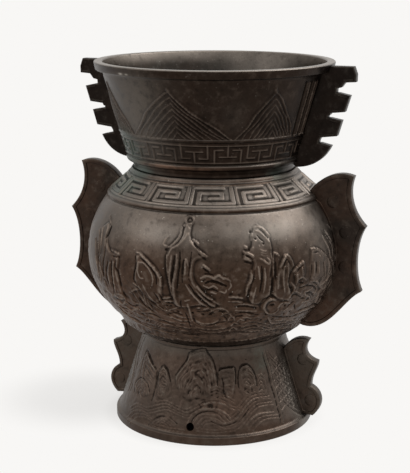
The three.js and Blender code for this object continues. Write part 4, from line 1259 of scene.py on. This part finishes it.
def map_surface(mesh, across, radius, height):
    """Lays the shell out flat: its angle across, its outline up, its two cut ends in a side strip."""
    corner = np.zeros(len(mesh.loops), np.int32)
    mesh.loops.foreach_get("vertex_index", corner)
    first, count = np.zeros(len(mesh.polygons), np.int32), np.zeros(len(mesh.polygons), np.int32)
    mesh.polygons.foreach_get("loop_start", first)
    mesh.polygons.foreach_get("loop_total", count)
    along = numbers(mesh, "along")[corner]
    face = np.repeat(np.arange(len(first)), count)
    closing = np.maximum.reduceat(along, first) - np.minimum.reduceat(along, first) > 0.5
    along = np.where(closing[face] & (along < 0.5), 1.0, along)
    u, v = across[corner] * WALL_WIDE + MAP_MARGIN, along * MAP_TALL + MAP_MARGIN
    end_cap = (count > 4)[face]
    strip = STRIP_START + STRIP_STEP * np.round(across[corner])
    width = (radius[corner] - radius.min()) / (radius.max() - radius.min())
    rise = (height[corner] - height.min()) / (height.max() - height.min())
    u = np.where(end_cap, strip + STRIP_WIDE * width, u)
    v = np.where(end_cap, MAP_MARGIN + MAP_TALL * rise, v)
    layer = mesh.uv_layers.new(name=MAP_NAME)
    layer.data.foreach_set("uv", np.column_stack([u, v]).astype(np.float32).ravel())


print("map", MAP_NAME)

# %% [markdown]
# Carving is the step that turns a smooth shell into a cast one. Each outer vertex looks up the
# canvas at its own azimuth and distance down the wall, and moves along the wall's normal.
# %% Carving
def carve(mesh, wall, start, end):
    """Pushes the outer vertices along the wall's normal by the canvas's height."""
    places = np.zeros(3 * len(mesh.vertices), np.float32)
    mesh.vertices.foreach_get("co", places)
    places = places.reshape(-1, 3)
    distance, outer = numbers(mesh, "distance"), numbers(mesh, "outer")
    azimuth = np.degrees(np.arctan2(places[:, 1], places[:, 0]))
    middle = (start + end) / 2
    azimuth = (azimuth - middle + 180) % 360 - 180 + middle
    azimuth = np.clip(azimuth, start, end)
    push = wall.sample(wall.height, azimuth, distance) * outer
    radius = numbers(mesh, "radius") + push * numbers(mesh, "normal_r")
    angle = np.radians(azimuth)
    places[:, 0] = radius * np.cos(angle) * MM
    places[:, 1] = radius * np.sin(angle) * MM
    places[:, 2] += push * numbers(mesh, "normal_z") * MM
    mesh.vertices.foreach_set("co", places.ravel())
    height = places[:, 2] / MM
    store(mesh, "relief", wall.sample(wall.relief, azimuth, distance) * outer)
    for key, patches in PATCHES.items():
        amount = patchwork(patches, azimuth, height) * outer
        # inside: the painted highlight; outside: dust and painted sheen on every face that looks up
        if key == "dust":
            amount += patchwork(INNER_PAINTED_HIGHLIGHT, azimuth, height) * (1 - outer)
            amount += soft_step(numbers(mesh, "normal_z"), 0.0, 1.0) * outer
        store(mesh, key, amount)
    map_surface(mesh, (azimuth - start) / (end - start), radius, height)
    for key in PROFILE_DATA:
        mesh.attributes.remove(mesh.attributes[key])
    mesh.update()


print("carving reads", neck.height.shape, belly.height.shape, foot.height.shape)

# %% [markdown]
# The spin takes a few wide steps, and only the level edges are subdivided afterwards, which is
# quicker than a spin of hundreds of steps and keeps every row level. The pieces are also put in
# the scene here: each rides on the one body and stands for its section's measured node.
# %% Spinning
WALL_FINISHES = {"neck": neck_bronze, "belly": belly_bronze, "foot": foot_bronze}
LEVEL_LIMIT = 1e-7           # m, how far the ends of a level edge may differ


def shown(name, mesh, slot, finishes, *nodes):
    """Puts a finished mesh in the scene on the one body, and hides the measured parts that it stands for."""
    piece = bpy.data.objects.new(name, mesh)
    bpy.context.scene.collection.objects.link(piece)
    for finish in finishes:
        mesh.materials.append(finish)
    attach(piece, "root")
    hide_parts(*nodes)
    return piece


def shell(wall, loop, part):
    """Spins one part of a section, closes its ends, carves it and puts it in the scene."""
    start, end, steps, cuts = SHELLS[part]
    bm = bmesh.new()
    layers = [bm.verts.layers.float.new(key) for key in PROFILE_DATA]
    turn = math.radians(start)
    verts = []
    for r, z, *values in loop:
        vert = bm.verts.new((r * math.cos(turn) * MM, r * math.sin(turn) * MM, z * MM))
        for layer, value in zip(layers, (r, *values)):
            vert[layer] = value
        verts.append(vert)
    edges = [bm.edges.new(pair) for pair in zip(verts, verts[1:] + verts[:1])]
    bmesh.ops.spin(bm, geom=verts + edges, cent=(0, 0, 0), axis=(0, 0, 1), angle=math.radians(end - start),
                   steps=steps, use_merge=False)
    radius = layers[0]
    level = [edge for edge in bm.edges if edge.verts[0][radius] == edge.verts[1][radius]
             and abs(edge.verts[0].co.z - edge.verts[1].co.z) < LEVEL_LIMIT]
    bmesh.ops.subdivide_edges(bm, edges=level, cuts=cuts)
    open_edges = [edge for edge in bm.edges if edge.is_boundary]
    bmesh.ops.holes_fill(bm, edges=open_edges, sides=0)
    bmesh.ops.recalc_face_normals(bm, faces=bm.faces)
    outer_layer = layers[PROFILE_DATA.index("outer")]
    for face in bm.faces:
        face.smooth = len(face.verts) == 4
        face.material_index = 0 if all(vert[outer_layer] > 0.5 for vert in face.verts) else 1
    for edge in open_edges:
        edge.smooth = False
    name = f"{wall.name}_{part}"
    mesh = bpy.data.meshes.new(name)
    bm.to_mesh(mesh)
    bm.free()
    carve(mesh, wall, start, end)
    return shown(name, mesh, "wall_bronze", (WALL_FINISHES[wall.name], inner_bronze), wall.name + "_section")


print("spinning helpers ready")

# %% [markdown]
# ## Neck, belly and foot
# The front shells have rows half a millimetre apart, fine enough for the thinnest lines. The
# belly's plain zone under the shoulder needs fewer, and so does the whole back.
# %% Neck, belly and foot
FINE_ROWS = {                # mm between rows at a height
    "neck": lambda z: 0.5,
    "belly": lambda z: 1.0 if 178 < z < 188 else 0.6,
    "foot": lambda z: 0.5,
}
COARSE = 1.5                 # the back's rows are this much wider
insides = {"neck": neck_inside, "belly": belly_inside, "foot": foot_inside}
pieces = {}
for wall in (neck, belly, foot):
    fine_rows = FINE_ROWS[wall.name]
    fine = outline_loop(wall, insides[wall.name], fine_rows)
    coarse = outline_loop(wall, insides[wall.name], lambda z: COARSE * fine_rows(z))
    for part in SHELLS:
        piece = shell(wall, coarse if part == "back" else fine, part)
        pieces[piece.name] = piece
        print(piece.name, 2 * len(piece.data.polygons), "triangles")

# %% [markdown]
# ## Vent hole
# A small round hole low in the front lets air out of the foot. On the real vase it is drilled, so
# a drill is made here too, subtracted from the wall and thrown away.
# %% Vent hole
VENT_RADIUS, VENT_LEVEL, VENT_BEARING = 3.2, 13.6, math.radians(-84.6)
DRILL_LENGTH = 20
bm = bmesh.new()
reach = float(foot_radius(VENT_LEVEL))
aim = (Matrix.Rotation(VENT_BEARING, 4, "Z") @ Matrix.Translation((reach * MM, 0, VENT_LEVEL * MM))
       @ Matrix.Rotation(math.pi / 2, 4, "Y"))
bmesh.ops.create_cone(bm, cap_ends=True, segments=40, radius1=VENT_RADIUS * MM, radius2=VENT_RADIUS * MM,
                      depth=DRILL_LENGTH * MM, matrix=aim)
mesh = bpy.data.meshes.new("drill")
bm.to_mesh(mesh)
bm.free()
drill = bpy.data.objects.new("drill", mesh)
bpy.context.scene.collection.objects.link(drill)
wall_piece = pieces["foot_front_right"]
cut = wall_piece.modifiers.new("vent", "BOOLEAN")
cut.operation = "DIFFERENCE"
cut.solver = "EXACT"
cut.object = drill
drilled = bpy.data.meshes.new_from_object(wall_piece.evaluated_get(bpy.context.evaluated_depsgraph_get()))
wall_piece.modifiers.clear()
wall_piece.data = drilled
drilled.name = wall_piece.name
bpy.data.objects.remove(drill)
print("vent drilled,", len(drilled.polygons), "faces left")

# %% [markdown]
# ## Flanges
# The flanges are flat castings 8.4 mm thick. The neck's are cut into hooked teeth, each with a
# raised line along its lower edge. The belly's and foot's are scalloped between sharp horns,
# with a slight border, a sunk field and low round bosses. Each is drawn as an outline, filled on
# both sides between border and field, bridged round its edge and bevelled.
# %% Flange outlines
FLANGE_THICKNESS = 8.4
TENON = 2.2


def curve(start, handle_a, handle_b, end, steps):
    """Points along a curve with two handles, without its last point."""
    p = np.array([start, handle_a, handle_b, end], float)
    t = np.linspace(0, 1, steps, endpoint=False)[:, None]
    return [tuple(q) for q in (1 - t) ** 3 * p[0] + 3 * (1 - t) ** 2 * t * p[1]
            + 3 * (1 - t) * t ** 2 * p[2] + t ** 3 * p[3]]


neck_flange_outline = [
    (95.8, 298.2), (116.2, 298.2), (118.4, 292), (118.2, 286.2), (109.6, 285.6),
    (106.6, 281.6), (103, 280.8), (102.8, 277.4), (104.6, 277.4), (113.8, 275.4), (109.8, 262.4),
    (98.6, 261.2), (97.6, 259.4), (96.4, 259), (96.2, 257.4), (98, 257.4), (107.6, 255.6),
    (103.8, 243), (90.8, 241.4), (89.4, 239), (89, 237), (91, 237),
    *curve((99.4, 235), (94.5, 224.5), (86, 217.5), (72, 216.6), 14),
    (71.4, 216.6), (67.4, 219.2),
    (neck_radius(NECK_FOOT) - TENON, NECK_FOOT), (neck_radius(288) - TENON, 288), (90, 293), (95.8, 294),
]
belly_flange_outline = [
    *curve((82.4, 197.2), (88, 207), (104, 217.5), (119, 211.5), 16),
    *curve((119, 211.5), (114.5, 200), (116, 184), (129.3, 171), 16),
    *curve((129.3, 171), (120.3, 158), (120.3, 130), (126.7, 117.5), 16),
    *curve((126.7, 117.5), (112, 110), (100, 77), (75, 86), 20),
    (74.4, 86.6),
    *[(r - TENON, z) for r, z in rings(belly_radius, 92, 186, 24)],
    (84.6, 190), (80.6, 196.4),
]
foot_flange_outline = [
    *curve((63, 64.5), (69, 73.5), (78, 75.5), (84.6, 72.6), 12),
    *curve((84.6, 72.6), (79.5, 66), (79.5, 57.5), (91.9, 54.6), 12),
    *curve((91.9, 54.6), (92.2, 48), (86.4, 43), (86.3, 33), 12),
    *curve((86.3, 33), (95.4, 29), (99, 17), (88.6, 7.4), 16),
    (88.6, 7.4), (81.4, 7.9),
    *[(r - TENON, z) for r, z in rings(foot_radius, 9.2, 62.5, 12)],
]
FLANGES = {                  # outline, width of the border, depth of the field, bosses
    "neck": (neck_flange_outline, 1.5, 0.12, []),
    "belly": (belly_flange_outline, 3.2, 0.55, [(102, 190), (112.6, 165.5), (112.6, 137)]),
    "foot": (foot_flange_outline, 2.6, 0.55, [(79.5, 55.5), (86.4, 20.5)]),
}
BOSS_RADIUS = 5
FLANGE_FINISHES = {"neck": dark_flange_bronze, "belly": flange_bronze, "foot": foot_flange_bronze}
TOOTH_EDGES = [(3, 4), (8, 9), (10, 11), (15, 16), (17, 18)]     # corners at the teeth's lower edges
print("flange outlines", {kind: len(parts[0]) for kind, parts in FLANGES.items()})

# %% [markdown]
# The border is the outline moved inwards. At a sharp horn a plain offset would cross itself, so
# a point is kept only where it is still nearly a border's width from the outline.
# %% Offsets of an outline
def moved(outline, distance):
    """The outline with each point moved inwards across its corner."""
    p = np.array(outline, float)
    before, after = p - np.roll(p, 1, axis=0), np.roll(p, -1, axis=0) - p
    before /= np.linalg.norm(before, axis=1)[:, None]
    after /= np.linalg.norm(after, axis=1)[:, None]
    normals = [np.column_stack([-side[:, 1], side[:, 0]]) for side in (before, after)]
    mitre = normals[0] + normals[1]
    mitre /= np.linalg.norm(mitre, axis=1)[:, None]
    area = np.sum(p[:, 0] * np.roll(p[:, 1], -1) - np.roll(p[:, 0], -1) * p[:, 1])
    stretch = np.minimum(1 / np.maximum((mitre * normals[1]).sum(1), 0.2), 2.4)
    return p + mitre * (stretch * distance * np.sign(area))[:, None]


def field_of(outline, border):
    """The outline moved inwards, without the points that crowd into a corner."""
    p = np.array(outline, float)
    ends = np.roll(p, -1, axis=0)
    kept = []
    for q in moved(outline, border):
        along = np.clip(((q - p) * (ends - p)).sum(1) / ((ends - p) ** 2).sum(1), 0, 1)
        nearest = np.linalg.norm(p + along[:, None] * (ends - p) - q, axis=1).min()
        if nearest > 0.97 * border:
            kept.append(tuple(q))
    return kept


print("border of the belly flange", len(field_of(belly_flange_outline, FLANGES["belly"][1])), "points")

# %% [markdown]
# One function makes all six flanges. The left ones are the right ones turned by half a turn, as
# both came from one mould.
# %% Flange meshes
FIELD_SLOPE = 0.5            # mm across which the field sinks
ROUNDING = 0.9               # mm that the bevel takes off the rim
ROD_RADIUS, ROD_INSET = 0.6, 1.9
BOSS_FLATNESS = 0.12
EDGE_RELIEF, RIM_RELIEF, BOSS_RELIEF = 0.55, 0.2, 0.15       # how raised each place counts for the finish
SHARP_ANGLE = math.radians(38)


def drawn_loop(bm, outline, y, level):
    """The outline as a closed loop of edges at one depth, with one level of relief."""
    verts = [bm.verts.new((x * MM, y * MM, z * MM)) for x, z in outline]
    for vert in verts:
        vert[bm.verts.layers.float["relief"]] = level
    return [bm.edges.new(pair) for pair in zip(verts, verts[1:] + verts[:1])]


def raised_line(bm, points, face):
    """A half-round rod laid along the points on one side of a flange."""
    relief = bm.verts.layers.float["relief"]
    for (xa, za), (xb, zb) in zip(points, points[1:]):
        length = math.hypot(xb - xa, zb - za)
        along = Matrix.Rotation(math.atan2(xb - xa, zb - za), 4, "Y")
        place = Matrix.Translation(Vector(((xa + xb) / 2, face, (za + zb) / 2)) * MM) @ along
        rod = bmesh.ops.create_cone(bm, cap_ends=True, segments=12, radius1=ROD_RADIUS * MM,
                                    radius2=ROD_RADIUS * MM, depth=length * MM, matrix=place)
        for vert in rod["verts"]:
            vert[relief] = EDGE_RELIEF


def flange(kind, right):
    """One flange: a bevelled plate with a border, a sunk field, bosses and raised lines."""
    outline, border, sink, bosses = FLANGES[kind]
    bm = bmesh.new()
    relief = bm.verts.layers.float.new("relief")
    rims = []
    field = field_of(outline, border)
    for side in (-1, 1):
        face = side * FLANGE_THICKNESS / 2
        rim = drawn_loop(bm, outline, face, RIM_RELIEF)
        lip = drawn_loop(bm, field, face, 0.0)
        bed = drawn_loop(bm, moved(field, FIELD_SLOPE), face - side * sink, 0.0)
        bmesh.ops.triangle_fill(bm, edges=rim + lip, use_beauty=True)
        bmesh.ops.bridge_loops(bm, edges=lip + bed)
        bmesh.ops.triangle_fill(bm, edges=bed, use_beauty=True)
        rims += rim
    bmesh.ops.bridge_loops(bm, edges=rims)
    bmesh.ops.recalc_face_normals(bm, faces=bm.faces)
    rounded = bmesh.ops.bevel(bm, geom=rims, offset=ROUNDING * MM, offset_type="OFFSET", affect="EDGES",
                              segments=3, profile=0.5, material=-1, clamp_overlap=True)
    for vert in rounded["verts"]:
        vert[relief] = EDGE_RELIEF
    for side in (-1, 1):
        for x, z in bosses:
            place = Matrix.Translation(Vector((x, side * (FLANGE_THICKNESS / 2 - sink), z)) * MM)
            dome = bmesh.ops.create_uvsphere(bm, u_segments=24, v_segments=12, radius=BOSS_RADIUS * MM,
                                             matrix=place @ Matrix.Diagonal((1, BOSS_FLATNESS, 1, 1)))
            for vert in dome["verts"]:
                vert[relief] = BOSS_RELIEF
        if kind == "neck":
            inner = moved(outline, ROD_INSET)
            for first, last in TOOTH_EDGES:
                raised_line(bm, inner[[first, last]], side * (FLANGE_THICKNESS / 2 - sink))
    if not right:
        bmesh.ops.rotate(bm, verts=bm.verts, cent=(0, 0, 0), matrix=Matrix.Rotation(math.pi, 3, "Z"))
    for face in bm.faces:
        face.smooth = True
    name = f"{kind}_flange_{'right' if right else 'left'}"
    mesh = bpy.data.meshes.new(name + "_cast")
    bm.to_mesh(mesh)
    bm.free()
    mesh.set_sharp_from_angle(angle=SHARP_ANGLE)
    finish = FLANGE_FINISHES[kind]
    return shown(name + "_cast", mesh, "flange_bronze", (finish,), name)


for kind in FLANGES:
    for right in (True, False):
        piece = flange(kind, right)
        print(piece.name, len(piece.data.polygons), "faces")

# %% [markdown]
# ## Floor disc
# The loose disc that closes the belly keeps its measured mesh. It only needs the finish of the
# inside.
# %% Floor disc
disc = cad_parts["floor_plate"]
disc.data.materials.clear()
disc.data.materials.append(inner_bronze)
print("floor disc finished")

# %% [markdown]
# ## Floor and light
# The photograph has a seamless pale ground and a soft light from the right and above. A wide
# disc is the ground. Beside and behind the vase it is partly a lit surface and takes the shadow.
# Farther out it glows at the background's own level, so no horizon shows. Under the hollow foot
# it is only lit, so the vent hole looks into the dark. The world glows in the same way.
# %% Ground and world
PALE = rgb(0.940, 0.929, 0.913)
GROUND_RADIUS = 15.0
SHADOW_CENTRE = (-0.119, -0.006, 0)     # the shadow falls to the left and behind, away from the key lamp
SHADOW_EDGE = (0.03, 0.10)   # m from there, where the glow grows from eight tenths to full
CONTACT_EDGE = (0.084, 0.098)           # m from the axis, where the dark line under the rim ends
HOLLOW_EDGE = (0.070, 0.078)            # m from the axis, inside which nothing glows


def seen_directly(finish):
    """1 for rays of the camera, of reflections and of glass."""
    rays = finish.node("LightPath")
    seen = rays[0]
    for ray in (rays[3], rays[6]):
        seen = finish.node("Math", {"operation": "MAXIMUM"}, {0: seen, 1: ray})[0]
    return seen


ground_finish = Finish("ground")
place = ground_finish.node("TexCoord")[3]
away = ground_finish.node("VectorMath", {"operation": "DISTANCE"}, {0: place, 1: SHADOW_CENTRE})[1]
lit = ground_finish.node("BsdfDiffuse", None, {"Color": rgb(0.775, 0.765, 0.75)})[0]
glow = ground_finish.node("Emission", None, {"Color": PALE, "Strength": 1.0})[0]
from_axis = ground_finish.node("VectorMath", {"operation": "LENGTH"}, {0: place})[1]
blend = (away.clipped(*SHADOW_EDGE) * 0.2 + 0.8) * (from_axis.clipped(*CONTACT_EDGE) * 0.1 + 0.9)
blend = blend * from_axis.clipped(*HOLLOW_EDGE)
blend = blend * seen_directly(ground_finish)
both = ground_finish.node("MixShader", None, {0: blend, 1: lit, 2: glow})[0]
ground_finish.surface(both)

bm = bmesh.new()
bmesh.ops.create_circle(bm, cap_ends=True, segments=96, radius=GROUND_RADIUS)
mesh = bpy.data.meshes.new("ground")
bm.to_mesh(mesh)
bm.free()
mesh.materials.append(ground_finish.material)
ground = bpy.data.objects.new("ground", mesh)
bpy.context.scene.collection.objects.link(ground)

world = bpy.data.worlds.new("studio")
bpy.context.scene.world = world
air = Finish("studio", world)
strength = seen_directly(air) * 0.9 + 0.1
air.surface(air.node("Background", None, {"Color": PALE, "Strength": strength})[0], "World")
print("ground", 2 * GROUND_RADIUS, "m wide")

# %% [markdown]
# Three large soft boxes light the vase: a bright one to the right, which gives the belly its
# highlight, a broad one above it, and a weak one to the left, which the inside of the mouth shows.
# %% Lamps
LAMPS = {                    # bearing from the front, elevation, distance, size in m, power in W
    "key": (117, 46, 1.55, (1.3, 1.15), 19),
    "top": (70, 78, 1.7, (1.6, 1.6), 13),
    "left": (-53, 32, 1.6, (0.9, 1.4), 6),
}
AIM = Vector((0, 0, 0.15))
for name, (bearing, elevation, distance, size, power) in LAMPS.items():
    lamp = bpy.data.lights.new(name, "AREA")
    lamp.shape = "RECTANGLE"
    lamp.size, lamp.size_y = size
    lamp.energy = power
    holder = bpy.data.objects.new(name, lamp)
    bpy.context.scene.collection.objects.link(holder)
    turn, rise = math.radians(bearing), math.radians(elevation)
    direction = Vector((math.sin(turn) * math.cos(rise), -math.cos(turn) * math.cos(rise), math.sin(rise)))
    holder.location = AIM + direction * distance
    holder.rotation_euler = (-direction).to_track_quat("-Z", "Y").to_euler()
    holder.visible_camera = False
print("lamps", list(LAMPS))

bpy.context.scene.view_settings.view_transform = "Standard"
